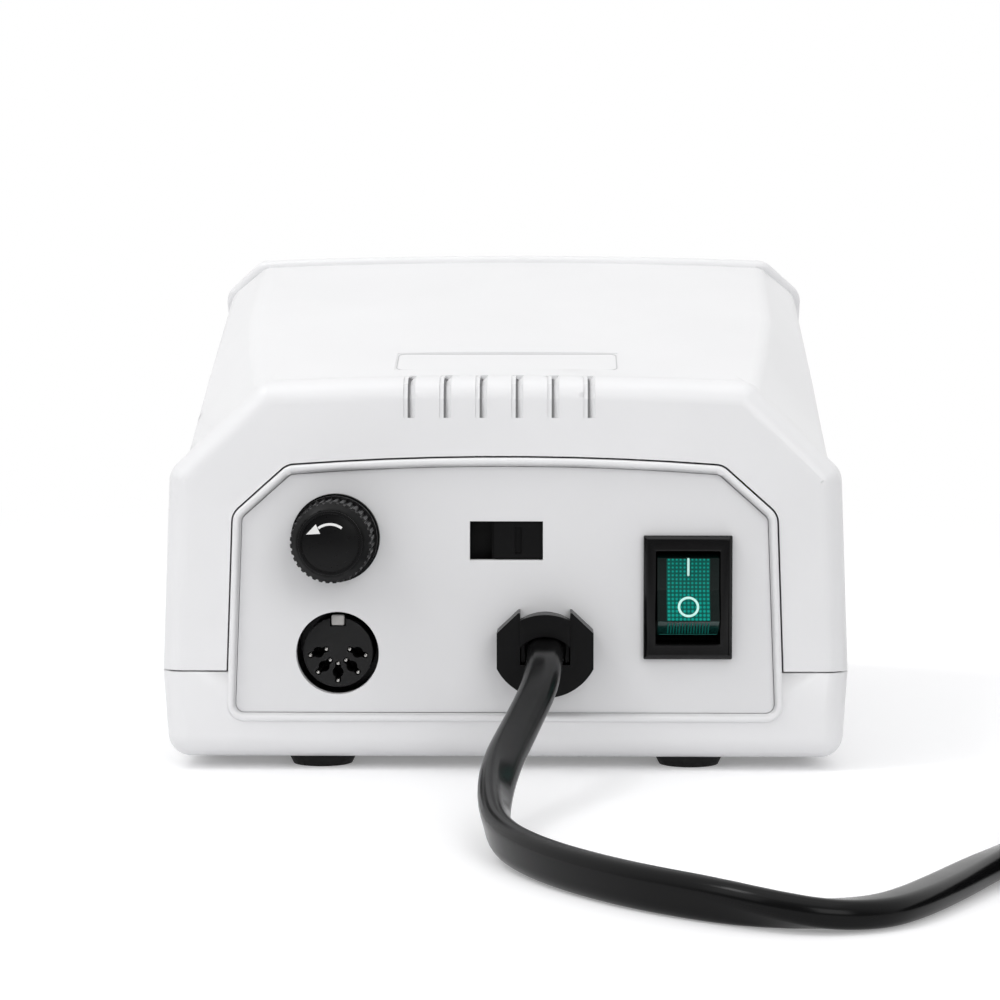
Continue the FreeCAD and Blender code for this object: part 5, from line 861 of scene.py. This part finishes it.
# The rocker's lower end: the way that it slopes, as along and up.
LIP_SLOPE = (2.0, 4.1)
LIP_SIZE = (4.3, 0.12)
LIP_MIDDLE = -2.2
FOOT_LINE = (0.18, 0.16)
FOOT_LINE_PLACE = (-4.2, 0.02)
RIB_COUNT = 15
RIB_SIZE = (3.3, 0.14)
RIB_PLACE = (-2.15, 0.06)
ON_MARK = (3.05, 0.38)
OFF_MARK = (1.8, 0.4)
# How far the marks lie from the rocker's valley, and over its face.
ON_MARK_UP = 3.93
OFF_MARK_DOWN = 2.97
MARK_LIFT = 0.08


def rocker_place(base, tilt):
    """A place on a rocker's pivot, turned with it."""
    return base @ lifted(0, 0, -PIVOT_SINK) @ leaning(ROCKER_TILT * tilt)


def facet(base, tilt, side, crest):
    """A place in the valley of a rocker, on its upper or lower face."""
    valley = ROCKER_ARM - crest * math.tan(math.radians(ROCKER_TILT))
    return rocker_place(base, tilt) @ lifted(0, 0, valley) @ leaning(ROCKER_TILT * side)


class PowerSwitchOperator(bpy.types.Operator):
    """Adds the rocker's ribbed green window and its on and off marks"""

    bl_idname = "nail_drill.power_switch"
    bl_label = "Power switch"

    def execute(self, context):
        def fitted(piece, finish, place=Matrix()):
            settle(piece, "power_rocker_body", finish, place)

        base = on_back(*SWITCH_PLACE)
        upper = facet(base, -1, 1, ROCKER_CREST)
        lower = facet(base, -1, -1, ROCKER_CREST)
        reach = ROCKER_CREST / math.cos(math.radians(ROCKER_TILT)) - WINDOW_EDGE
        thickness, lift = PANE
        panes = []
        for side, face in ((1, upper), (-1, lower)):
            pane = slab("rocker_pane", WINDOW_WIDTH, reach, thickness,
                        (0, side * reach / 2, lift))
            panes.append(moved(pane, face))
        fitted(merged(joined("rocker_window", panes)), green_lens())

        along, up = LIP_SLOPE
        lower_end = (rocker_place(base, -1) @ lifted(0, -ROCKER_CREST, ROCKER_ARM)
                     @ leaning(math.degrees(math.atan2(up, along))))
        pitch = WINDOW_WIDTH / RIB_COUNT
        ribs = [slab("rib", pitch * 0.5, *RIB_SIZE, ((i - (RIB_COUNT - 1) / 2) * pitch,
                                                     *RIB_PLACE))
                for i in range(RIB_COUNT)]
        fitted(bevelled(joined("rocker_ribs", ribs), 0.03, 1), rib_green(), lower_end)
        lip = slab("rocker_lip", ROCKER_WIDTH, *LIP_SIZE, (0, LIP_MIDDLE, 0))
        fitted(bevelled(lip, 0.05), lip_green(), lower_end)
        edge = slab("rocker_foot_line", ROCKER_WIDTH - 0.6, *FOOT_LINE, (0, *FOOT_LINE_PLACE))
        fitted(bevelled(edge, 0.03, 1), rib_green(), lower_end)

        fitted(on_mark("rocker_on_mark", *ON_MARK), mint_print(),
               upper @ lifted(0, ON_MARK_UP, MARK_LIFT))
        fitted(off_mark("rocker_off_mark", *OFF_MARK), mint_print(),
               lower @ lifted(0, -OFF_MARK_DOWN, MARK_LIFT))
        return {"FINISHED"}


# Fuse cap

FUSE_PLACE = (-28.6, 39.8)
FUSE_FACE = 12.3
# Each ring by its outer and inner radius, and its height.
FUSE_RIM = (5.35, 4.85, 0.28)
FUSE_INLAY = (4.86, 0.1)
ARROW_RING = (3.4, 2.98)
ARROW_SPAN = (52, 128)
ARROW_HEAD = (-2.65, 2.1)
ARROW_HEAD_TURN = 25
ARROW_HEAD_STRETCH = 1.45
ARROW_PLACE = (0, -0.05, 0.05)


class FuseCapOperator(bpy.types.Operator):
    """Adds the raised rim of the fuse cap and the arrow for the way that it turns"""

    bl_idname = "nail_drill.fuse_cap"
    bl_label = "Fuse cap"

    def execute(self, context):
        base = on_back(*FUSE_PLACE) @ lifted(0, 0, FUSE_FACE)
        rim = bevelled(hoop("fuse_cap_rim", *FUSE_RIM, 96), 0.09, 3)
        settle(rim, "fuse_cap_body", black_plastic(), base)
        face = bevelled(drum("fuse_cap_inlay", *FUSE_INLAY, 96), 0.03)
        settle(face, "fuse_cap_body", inlay_black(), base)
        shaft = hoop("arrow_shaft", *ARROW_RING, MARK_HEIGHT, 96, ARROW_SPAN)
        head = drum("arrow_head", 1.0, MARK_HEIGHT, 3, (0, 0, MARK_HEIGHT / 2))
        moved(head, lifted(*ARROW_HEAD, 0) @ turning(ARROW_HEAD_TURN)
              @ Matrix.Diagonal((ARROW_HEAD_STRETCH, 1, 1, 1)) @ turning(90))
        settle(joined("fuse_cap_arrow", [shaft, head]), "fuse_cap_body", white_print(),
               base @ lifted(*ARROW_PLACE))
        return {"FINISHED"}


# Control panel

KNOB_PLACE = (0.0, 3.0)
KNOB_ZERO = 240.0
KNOB_SWEEP = 300.0
KNOB_TOP = 14.98
SCALE_STEPS = 10
# The length, width and radius of a main and of a minor tick.
MAIN_TICK = (2.0, 0.4, 18.4)
MINOR_TICK = (1.2, 0.28, 18.0)
NUMBER_HEIGHT = 3.3
NUMBER_RADIUS = 21.9
POINTER = (8.6, 0.9)
POINTER_RADIUS = 8.9
SMALL_ROCKER_ACROSS = 34.0
SMALL_ROCKER_CREST = 2.35
# Each small rocker by its body, its height on the panel and the way that it leans.
SMALL_ROCKERS = (("direction", 13.0, -1), ("mode", -14.0, 1))
SMALL_ON_MARK = (1.3, 0.35)
SMALL_OFF_MARK = (0.75, 0.26)
SMALL_MARK_AWAY = 1.25
SMALL_MARK_LIFT = 0.02


def numeral(text, height):
    """A plain printed number, as a thin mesh about its own middle."""
    bpy.ops.object.select_all(action="DESELECT")
    bpy.ops.object.text_add()
    letters = bpy.context.object
    letters.data.body = text
    letters.data.size = height * MM
    letters.data.align_x = "CENTER"
    letters.data.align_y = "CENTER"
    letters.data.extrude = MARK_HEIGHT / 2 * MM
    bpy.ops.object.convert(target="MESH")
    return named_piece(f"number_{text}")


class ControlPanelOperator(bpy.types.Operator):
    """Prints the speed scale and the switch marks on the control panel"""

    bl_idname = "nail_drill.control_panel"
    bl_label = "Control panel"

    def execute(self, context):
        ticks = []
        numbers = []
        for i in range(SCALE_STEPS * 2 + 1):
            angle = KNOB_ZERO - KNOB_SWEEP * i / (SCALE_STEPS * 2)
            main = i % 2 == 0
            length, width, radius = MAIN_TICK if main else MINOR_TICK
            tick = slab("tick", length, width, MARK_HEIGHT, (radius, 0, MARK_HEIGHT / 2))
            ticks.append(moved(tick, turning(angle)))
            if main:
                place = (*around(angle, NUMBER_RADIUS), MARK_HEIGHT / 2)
                numbers.append(moved(numeral(str(i // 2), NUMBER_HEIGHT), place))
        base = on_slope(*KNOB_PLACE)
        settle(joined("speed_scale", ticks + numbers), "case", grey_print(), base)

        pointer = on_mark("knob_pointer", *POINTER)
        place = lifted(*around(KNOB_ZERO, POINTER_RADIUS), KNOB_TOP)
        settle(moved(pointer, place @ turning(KNOB_ZERO - 90)), "speed_control",
               white_print(), base)

        for name, up, tilt in SMALL_ROCKERS:
            base = on_slope(SMALL_ROCKER_ACROSS, up)
            bar = on_mark(f"{name}_on_mark", *SMALL_ON_MARK)
            circle = off_mark(f"{name}_off_mark", *SMALL_OFF_MARK)
            for mark, side in ((bar, 1), (circle, -1)):
                settle(mark, f"{name}_rocker_body", white_print(),
                       facet(base, tilt, side, SMALL_ROCKER_CREST)
                       @ lifted(0, side * SMALL_MARK_AWAY, SMALL_MARK_LIFT))
        return {"FINISHED"}


# Top details

GROOVE_PITCH = 6.08
GROOVE_SHIFT = -0.9
GROOVE_WIDTH = 2.0
GROOVE_COUNT = 6
# Where the floors end at the front, their lowest height, and the length of their feet.
GROOVE_FRONT = 11.9
GROOVE_FOOT = 60.05
GROOVE_END = 1.6
FILLING_THICKNESS = 0.25
# Each filling of the grooves by its name, the shares of the width between which it lies,
# its heights at the left and right, and whether it is a dark strip of painted shade for a slit.
FILLINGS = (
    ("groove_ledges", (0.01, 0.36), (1.36, 1.36), False),
    ("groove_ramps", (0.42, 0.99), (0.35, 1.36), False),
    ("groove_slits", (0.33, 0.52), (0.85, 0.85), True),
)
PLATE_WIDTH = 39.0
PLATE_LENGTH = 10.0
PLATE_DEPTH = 24.95
PLATE_CORNER = 1.4
PLATE_LINE = 0.22
PLATE_LINE_HEIGHT = 0.05
PLATE_LINE_LIFT = 0.03
ABOVE_ALL = 90


def groove_offset(x):
    """How far a place across the cover lies from the middle of the nearest groove."""
    half_row = (GROOVE_COUNT - 1) / 2
    nearest = min(max(round((x - GROOVE_SHIFT) / GROOVE_PITCH + half_row), 0), GROOVE_COUNT - 1)
    return x - GROOVE_SHIFT - (nearest - half_row) * GROOVE_PITCH


def in_groove(face):
    """Whether a face is part of a groove's floor, and not of its walls or ends."""
    across = [vert.co.x / MM for vert in face.verts]
    if max(across) - min(across) > GROOVE_WIDTH + 0.04:
        return False
    if any(abs(groove_offset(x)) > GROOVE_WIDTH / 2 + 0.02 for x in across):
        return False
    forward = face.calc_center_median().y / MM - REAR_EDGE
    if abs(face.normal.x) > 0.1 or forward > GROOVE_FRONT:
        return False
    at_foot = face.normal.z > 0.95 and forward < GROOVE_END
    return not at_foot and min(vert.co.z for vert in face.verts) > GROOVE_FOOT * MM


def groove_filling(floors, name, shares, heights, finish):
    """A strip along every groove, between two shares of its width and at two heights."""
    strip = copied(floors, name)
    edit(strip)
    bpy.ops.transform.shrink_fatten(value=heights[0] * MM)
    pick(strip, "verts", lambda vert: groove_offset(vert.co.x / MM) > 0)
    bpy.ops.transform.shrink_fatten(value=(heights[1] - heights[0]) * MM)
    bpy.ops.transform.translate(value=((shares[1] - 1) * GROOVE_WIDTH * MM, 0, 0))
    pick(strip, "verts", lambda vert: groove_offset(vert.co.x / MM) < -GROOVE_WIDTH * 0.4)
    bpy.ops.transform.translate(value=(shares[0] * GROOVE_WIDTH * MM, 0, 0))
    done()
    worked(strip, "SOLIDIFY", thickness=FILLING_THICKNESS * MM, offset=-1)
    settle(merged(strip), "case", finish, angle=20)


class TopDetailsOperator(bpy.types.Operator):
    """Shapes the vents in the row of grooves, with painted shade in their slits, and outlines the
    bare name recess with a line of painted shade
    """

    bl_idname = "nail_drill.top_details"
    bl_label = "Top details"

    def execute(self, context):
        cover = bpy.data.objects["top_cover_skin"]
        floors = copied(cover, "groove_floors")
        edit(floors)
        pick(floors, "faces", lambda face: not in_groove(face))
        bpy.ops.mesh.delete(type="FACE")
        done()
        # The slits get a grey strip of painted shade, standing in for the shaded gaps of the
        # vents.
        for name, shares, heights, dark in FILLINGS:
            groove_filling(floors, name, shares, heights, vent_shade() if dark else case_white())
        bpy.data.objects.remove(floors)

        # A grey hairline of painted shade around the edge of the bare name recess.
        bpy.ops.object.select_all(action="DESELECT")
        bpy.ops.mesh.primitive_plane_add(size=1)
        line = named_piece("name_outline")
        line.scale = (PLATE_WIDTH * MM, PLATE_LENGTH * MM, 1)
        line.location = Vector((0, REAR_EDGE + PLATE_DEPTH, ABOVE_ALL)) * MM
        edit(line)
        bpy.ops.mesh.bevel(offset=PLATE_CORNER * MM, segments=6, affect="VERTICES")
        bpy.ops.mesh.select_all(action="SELECT")
        bpy.ops.mesh.inset(thickness=PLATE_LINE * MM)
        bpy.ops.mesh.delete(type="FACE")
        bpy.ops.mesh.select_all(action="SELECT")
        bpy.ops.mesh.subdivide(number_cuts=8)
        done()
        worked(line, "SHRINKWRAP", target=cover, wrap_method="PROJECT", use_project_z=True,
               use_negative_direction=True, use_positive_direction=False,
               offset=PLATE_LINE_LIFT * MM)
        worked(line, "SOLIDIFY", thickness=PLATE_LINE_HEIGHT * MM, offset=0)
        settle(merged(line, 0.0005), "case", seam_grey())
        return {"FINISHED"}


# Pedal socket

PEDAL_PLACE = (-28.4, 20.1)
PEDAL_RADIUS = 5.95
PEDAL_SINK = 1.2
PEDAL_DEPTH = 10.5
CONTACT_CIRCLE = 3.35
# The bearing of each contact from the socket's middle, and the way that its slot points.
CONTACTS = ((180, 21), (225, 45), (270, 90), (315, 135), (0, 159))
SLOT_LENGTH = 3.7
SLOT_WIDTH = 1.0
SLOT_DEPTH = 14.0
WELL_RADIUS = 0.95
LEAF_SIZE = (0.5, 0.62, 8.0)
LEAF_DROP = 4.3
LEAF_INSET = 0.38
TIP_SIZE = (0.27, 0.5)
TIP_DROP = 0.2
KEY_ROOM = (2.7, 3.0, 3.0)
KEY_SIZE = (2.2, 1.75, 1.9)
KEY_UP = 5.5
KEY_DROP = 0.75


class PedalSocketOperator(bpy.types.Operator):
    """Builds the pedal socket's insert with its five slots, its contacts and its key"""

    bl_idname = "nail_drill.pedal_socket"
    bl_label = "Pedal socket"

    def execute(self, context):
        base = on_back(*PEDAL_PLACE)
        middle = (0, 0, -PEDAL_SINK - PEDAL_DEPTH / 2)
        insert = bevelled(drum("pedal_insert", PEDAL_RADIUS, PEDAL_DEPTH, 96, middle), 0.15)
        leaves = []
        for place, slant in CONTACTS:
            pose = lifted(*around(place, CONTACT_CIRCLE), -PEDAL_SINK) @ turning(slant)
            slot = slab("slot", SLOT_LENGTH, SLOT_WIDTH, SLOT_DEPTH)
            carved(insert, moved(bevelled(slot, 0.3), pose))
            carved(insert, moved(drum("slot_well", WELL_RADIUS, SLOT_DEPTH, 24), pose))
            for end in (-1, 1):
                across = end * (SLOT_LENGTH / 2 - LEAF_INSET)
                leaf = slab("leaf", *LEAF_SIZE, (across, 0, -LEAF_DROP))
                tip = drum("leaf_tip", *TIP_SIZE, 16, (across, 0, -TIP_DROP))
                leaves.append(moved(bevelled(leaf, 0.12), pose))
                leaves.append(moved(bevelled(tip, 0.1), pose))
        carved(insert, slab("key_room", *KEY_ROOM, (0, PEDAL_RADIUS, -PEDAL_SINK)))
        settle(merged(insert, 0.0005), "case", socket_black(), base, 25)
        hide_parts("pedal_socket_insert")
        # The contacts' dull, dark metal is painted shade of the slots they sit in.
        contacts = settle(joined("pedal_leaves", leaves), "case", nickel(),
                          base)
        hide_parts("pedal_socket_contacts")
        key = slab("pedal_key", *KEY_SIZE, (0, KEY_UP, -PEDAL_SINK - KEY_DROP))
        settle(bevelled(key, 0.3, 3), "case", key_tin(), base)
        return {"FINISHED"}


# Strain relief

RELIEF_PLACE = (6.9, 19.7)
RELIEF_FACE = 6.8
# The hood's outer and inner radius, its height, the span of its arch and where it sits.
HOOD_RING = (9.5, 5.75, 3.4)
HOOD_SPAN = (30, 150)
HOOD_PLACE = (0, -1.75, -3.0)
HOOD_ROOM = 12
CHANNEL_HALF = 4.2


class ReliefOperator(bpy.types.Operator):
    """Adds the arched hood of the cord clamp"""

    bl_idname = "nail_drill.strain_relief"
    bl_label = "Strain relief"

    def execute(self, context):
        base = on_back(*RELIEF_PLACE) @ lifted(0, 0, RELIEF_FACE)
        hood = moved(hoop("relief_hood", *HOOD_RING, 128, HOOD_SPAN), HOOD_PLACE)
        room = slab("hood_room", CHANNEL_HALF * 2, HOOD_ROOM, HOOD_ROOM, (0, HOOD_ROOM / 2, 0))
        carved(hood, room, "INTERSECT")
        settle(bevelled(merged(hood), 0.8, 5), "case", black_plastic(), base, 45)
        return {"FINISHED"}


# Cord end

TIE_ANGLE = 322.0
TIE_WIDTH = 7.0
TIE_THICKNESS = 0.5
TIE_SLACK = 0.1
TIE_OUTER_CORNER = 1.5
TIE_INNER_CORNER = 1.1
BOOT_RIBS = 5
BOOT_RIB_START = 1.6
BOOT_RIB_PITCH = 2.5
BOOT_RIB_HEIGHT = 1.3
# The sleeve's radius under its first rib, how it widens, and how far a rib goes out and in.
BOOT_RADIUS = 3.45
BOOT_FLARE = 0.08
BOOT_RIB_OUT = 0.55
BOOT_RIB_IN = 0.6


class CordEndOperator(bpy.types.Operator):
    """Straps the put-away coil and adds the ribs of the plug's sleeve"""

    bl_idname = "nail_drill.cord_end"
    bl_label = "Coil strap and plug sleeve"

    def strap(self, sizes):
        """The strap around all the turns at one side of the coil."""
        width, thickness = sizes.width / MM, sizes.thickness / MM
        _, centre, entry_angle = coil_stand()
        reach = []
        for swept in range(0, int(COIL_TURNS * 360)):
            place = coil_place(swept, entry_angle)
            if abs(bearing(place) - TIE_ANGLE) < 0.8:
                reach.append(place.xy.length)
        inner, outer = min(reach) - thickness / 2, max(reach) + thickness / 2
        low, high = centre.z - width / 2, centre.z + COIL_RISE + width / 2
        middle = ((inner + outer) / 2, 0, (low + high) / 2)
        length, height = outer - inner + TIE_SLACK, high - low + TIE_SLACK
        strap = slab("coil_strap", length + TIE_THICKNESS * 2, TIE_WIDTH,
                     height + TIE_THICKNESS * 2, middle)
        rounded_along(strap, 1, TIE_OUTER_CORNER)
        room = slab("strap_room", length, TIE_WIDTH * 2, height, middle)
        carved(strap, rounded_along(room, 1, TIE_INNER_CORNER))
        return settle(bevelled(merged(strap, 0.0005), 0.12, 2, 50), "case", strap_web(),
                      lifted(centre.x, centre.y, 0) @ turning(TIE_ANGLE))

    def sleeve(self):
        """The ribs around the sleeve that leads the cord into its plug."""
        low, high = (corner / MM for corner in map(Vector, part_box("plug_body")))
        ribs = []
        for i in range(BOOT_RIBS):
            along = BOOT_RIB_START + i * BOOT_RIB_PITCH
            radius = BOOT_RADIUS + along * BOOT_FLARE
            rib = hoop("boot_rib", radius + BOOT_RIB_OUT, radius - BOOT_RIB_IN,
                       BOOT_RIB_HEIGHT, 48)
            ribs.append(moved(bevelled(rib, 0.35), (0, 0, -along)))
        back = on_back((low.x + high.x) / 2, (low.z + high.z) / 2)
        return settle(joined("boot_ribs", ribs), "case", black_plastic(),
                      back @ lifted(0, 0, PANEL_FACE - low.y))

    def execute(self, context):
        sizes = context.scene.nail_drill_cord
        pieces = [self.strap(sizes), self.sleeve()]
        pieces += [bpy.data.objects[name] for name in ("plug_body_skin", "plug_pins_skin")]
        tuple(cord_places()[0][0] * MM)
        return {"FINISHED"}


# Stage

FLOOR_SIZE = 6000.0
FLOOR_LIFT = 0.22
FLOOR_FADE = (150.0, 620.0)
ROOM_LIGHT = 0.65
# The room behind the camera is dimmer than the white in front of it, as gloss shows.
ROOM_DIM = 0.15
WHITE_SIDE = (0.0, 0.8, 0.6)
LAMP_AIM = Vector((0, 0, 0.05))
# Each lamp by its name, its place in metres, its side and its power.
LAMPS = (
    ("lamp_above", (0.0, -0.3, 1.5), 1.4, 4.2),
    ("lamp_key", (-0.7, -0.35, 1.2), 0.35, 3.1),
    ("lamp_left", (-1.1, -0.9, 0.9), 0.9, 2.8),
    ("lamp_right", (0.6, -1.5, 0.7), 0.8, 5.7),
)


def eased(nodes, links, source, start, end, low=0.0, high=1.0):
    """A soft step from one value to another, between two values of a source."""
    step = added(nodes, "MapRange", From_Min=start, From_Max=end, To_Min=low, To_Max=high)
    step.interpolation_type = "SMOOTHSTEP"
    links.new(source, step.inputs["Value"])
    return step.outputs["Result"]


def for_gloss(nodes, links, strength):
    """A strength that holds for glossy rays, and one for all the others."""
    path = nodes.new("ShaderNodeLightPath")
    chosen = nodes.new("ShaderNodeMix")
    chosen.data_type = "FLOAT"
    chosen.inputs["A"].default_value = 1.0
    links.new(path.outputs["Is Glossy Ray"], chosen.inputs["Factor"])
    links.new(strength, chosen.inputs["B"])
    return chosen.outputs["Result"]


def seen_directly(nodes, links):
    """One for what the camera sees, straight or through gloss and glass, and nought for light."""
    path = nodes.new("ShaderNodeLightPath")
    result = path.outputs["Is Camera Ray"]
    for kind in ("Is Glossy Ray", "Is Transmission Ray"):
        either = nodes.new("ShaderNodeMath")
        either.operation = "MAXIMUM"
        links.new(result, either.inputs[0])
        links.new(path.outputs[kind], either.inputs[1])
        result = either.outputs[0]
    return result


def mixed(nodes, links, share, first, second):
    """A blend of two shaders by a share."""
    blend = nodes.new("ShaderNodeMixShader")
    for socket, source in zip(blend.inputs, (share, first, second)):
        links.new(source, socket)
    return blend.outputs[0]


def floor_finish(colour):
    """Pale floor that keeps the shadow near the unit and runs into white further out."""
    material, nodes, links, shader = new_finish("pale_floor")
    shader.inputs["Base Color"].default_value = (*colour, 1)
    shader.inputs["Roughness"].default_value = 0.5
    shader.inputs["Specular IOR Level"].default_value = 0.1
    lift = added(nodes, "Emission", Strength=FLOOR_LIFT)
    white = nodes.new("ShaderNodeEmission")
    near = nodes.new("ShaderNodeAddShader")
    links.new(shader.outputs[0], near.inputs[0])
    links.new(lift.outputs[0], near.inputs[1])
    reach = nodes.new("ShaderNodeVectorMath")
    reach.operation = "LENGTH"
    links.new(own_place(nodes), reach.inputs[0])
    start, end = FLOOR_FADE
    fade = eased(nodes, links, reach.outputs["Value"], start * MM, end * MM)
    parts = nodes.new("ShaderNodeSeparateXYZ")
    links.new(own_place(nodes), parts.inputs["Vector"])
    dimming = eased(nodes, links, parts.outputs["Y"], -start * 2 * MM, 0.0, ROOM_DIM)
    links.new(for_gloss(nodes, links, dimming), white.inputs["Strength"])
    seen = mixed(nodes, links, fade, near.outputs[0], white.outputs[0])
    floor = mixed(nodes, links, seen_directly(nodes, links), shader.outputs[0], seen)
    links.new(floor, nodes["Material Output"].inputs[0])
    return material


def surroundings():
    """White behind and above the unit, and a dimmer room on the side of the camera."""
    world = bpy.data.worlds.new("white_surroundings")
    world.use_nodes = True
    nodes, links = world.node_tree.nodes, world.node_tree.links
    soft = nodes["Background"]
    soft.inputs["Color"].default_value = (1, 1, 1, 1)
    soft.inputs["Strength"].default_value = ROOM_LIGHT
    seen = added(nodes, "Background", Color=(1, 1, 1, 1))
    direction = nodes.new("ShaderNodeTexCoord")
    facing = nodes.new("ShaderNodeVectorMath")
    facing.operation = "DOT_PRODUCT"
    facing.inputs[1].default_value = WHITE_SIDE
    links.new(direction.outputs["Generated"], facing.inputs[0])
    dimming = eased(nodes, links, facing.outputs["Value"], -0.5, 0.35, ROOM_DIM)
    links.new(for_gloss(nodes, links, dimming), seen.inputs["Strength"])
    sky = mixed(nodes, links, seen_directly(nodes, links), soft.outputs[0], seen.outputs[0])
    links.new(sky, nodes["World Output"].inputs[0])
    return world


def soft_lamp(name, place, side, watts):
    """A square lamp that looks at the unit."""
    data = bpy.data.lights.new(name, "AREA")
    data.shape = "SQUARE"
    data.size = side
    data.energy = watts
    lamp = bpy.data.objects.new(name, data)
    bpy.context.scene.collection.objects.link(lamp)
    lamp.location = place
    lamp.rotation_euler = (LAMP_AIM - Vector(place)).to_track_quat("-Z", "Y").to_euler()


class StageOperator(bpy.types.Operator):
    """Builds the pale floor, the soft lamps and the white surroundings"""

    bl_idname = "nail_drill.stage"
    bl_label = "Floor and lamps"

    def execute(self, context):
        stage = context.scene.nail_drill_stage
        bpy.ops.object.select_all(action="DESELECT")
        bpy.ops.mesh.primitive_grid_add(x_subdivisions=4, y_subdivisions=4,
                                        size=FLOOR_SIZE * MM)
        floor = named_piece("floor")
        floor.data.materials.append(floor_finish(stage.floor_colour))
        for name, place, side, watts in LAMPS:
            soft_lamp(name, place, side, watts * stage.brightness)
        context.scene.world = surroundings()
        context.scene.view_settings.view_transform = "Standard"
        return {"FINISHED"}


# Settings and panel


def colour_setting(name, part, default):
    return bpy.props.FloatVectorProperty(name=name, description=f"Colour of {part}",
                                         default=default, size=3, min=0, max=1,
                                         subtype="COLOR")


class ColourSettings(bpy.types.PropertyGroup):
    """Colours of the unit's main plastics."""

    casing: colour_setting("Casing", "the moulded casing", (0.80, 0.80, 0.81))
    panel: colour_setting("Panels", "the rear and the control panel", (0.74, 0.74, 0.75))
    knob: colour_setting("Knob", "the speed knob", (0.075, 0.076, 0.08))


class CordSettings(bpy.types.PropertyGroup):
    """Sizes of the mains cord."""

    width: bpy.props.FloatProperty(
        name="Width", description="Width of the flat cord", default=6.1 * MM,
        unit="LENGTH", precision=4)
    thickness: bpy.props.FloatProperty(
        name="Thickness", description="Thickness of the flat cord", default=3.8 * MM,
        unit="LENGTH", precision=4)
    length: bpy.props.FloatProperty(
        name="Length", description="Length of the cord outside the unit", default=1.44,
        unit="LENGTH")


class StageSettings(bpy.types.PropertyGroup):
    """Floor colour and brightness of the lamps."""

    floor_colour: colour_setting("Floor", "the floor", (0.86, 0.86, 0.87))
    brightness: bpy.props.FloatProperty(
        name="Brightness", description="Strength of all lamps together", default=1.0,
        min=0, max=4)


STEPS = [
    CameraOperator,
    CordOperator,
    FinishOperator,
    TopDetailsOperator,
    PedalSocketOperator,
    ReliefOperator,
    CordEndOperator,
    PowerSwitchOperator,
    FuseCapOperator,
    ControlPanelOperator,
    StageOperator,
]
SETTINGS = {
    "nail_drill_colours": ColourSettings,
    "nail_drill_cord": CordSettings,
    "nail_drill_stage": StageSettings,
}


class NailDrillPanel(bpy.types.Panel):
    """Sizes, colours and building steps of the nail drill unit"""

    bl_idname = "VIEW3D_PT_nail_drill"
    bl_label = "Nail drill unit"
    bl_space_type = "VIEW_3D"
    bl_region_type = "UI"
    bl_category = "Nail drill"

    def draw(self, context):
        for name in SETTINGS:
            settings = getattr(context.scene, name)
            box = self.layout.box()
            for key in settings.bl_rna.properties.keys():
                if key not in ("rna_type", "name"):
                    box.prop(settings, key)
        for step in STEPS:
            self.layout.operator(step.bl_idname)


def register():
    for name, settings in SETTINGS.items():
        bpy.utils.register_class(settings)
        setattr(bpy.types.Scene, name, bpy.props.PointerProperty(type=settings))
    for step in STEPS:
        bpy.utils.register_class(step)
    bpy.utils.register_class(NailDrillPanel)


def unregister():
    bpy.utils.unregister_class(NailDrillPanel)
    for step in reversed(STEPS):
        bpy.utils.unregister_class(step)
    for name, settings in reversed(SETTINGS.items()):
        delattr(bpy.types.Scene, name)
        bpy.utils.unregister_class(settings)


def main():
    register()
    for step in STEPS:
        group, action = step.bl_idname.split(".")
        getattr(getattr(bpy.ops, group), action)()
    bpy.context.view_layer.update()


if __name__ == "__main__":
    main()
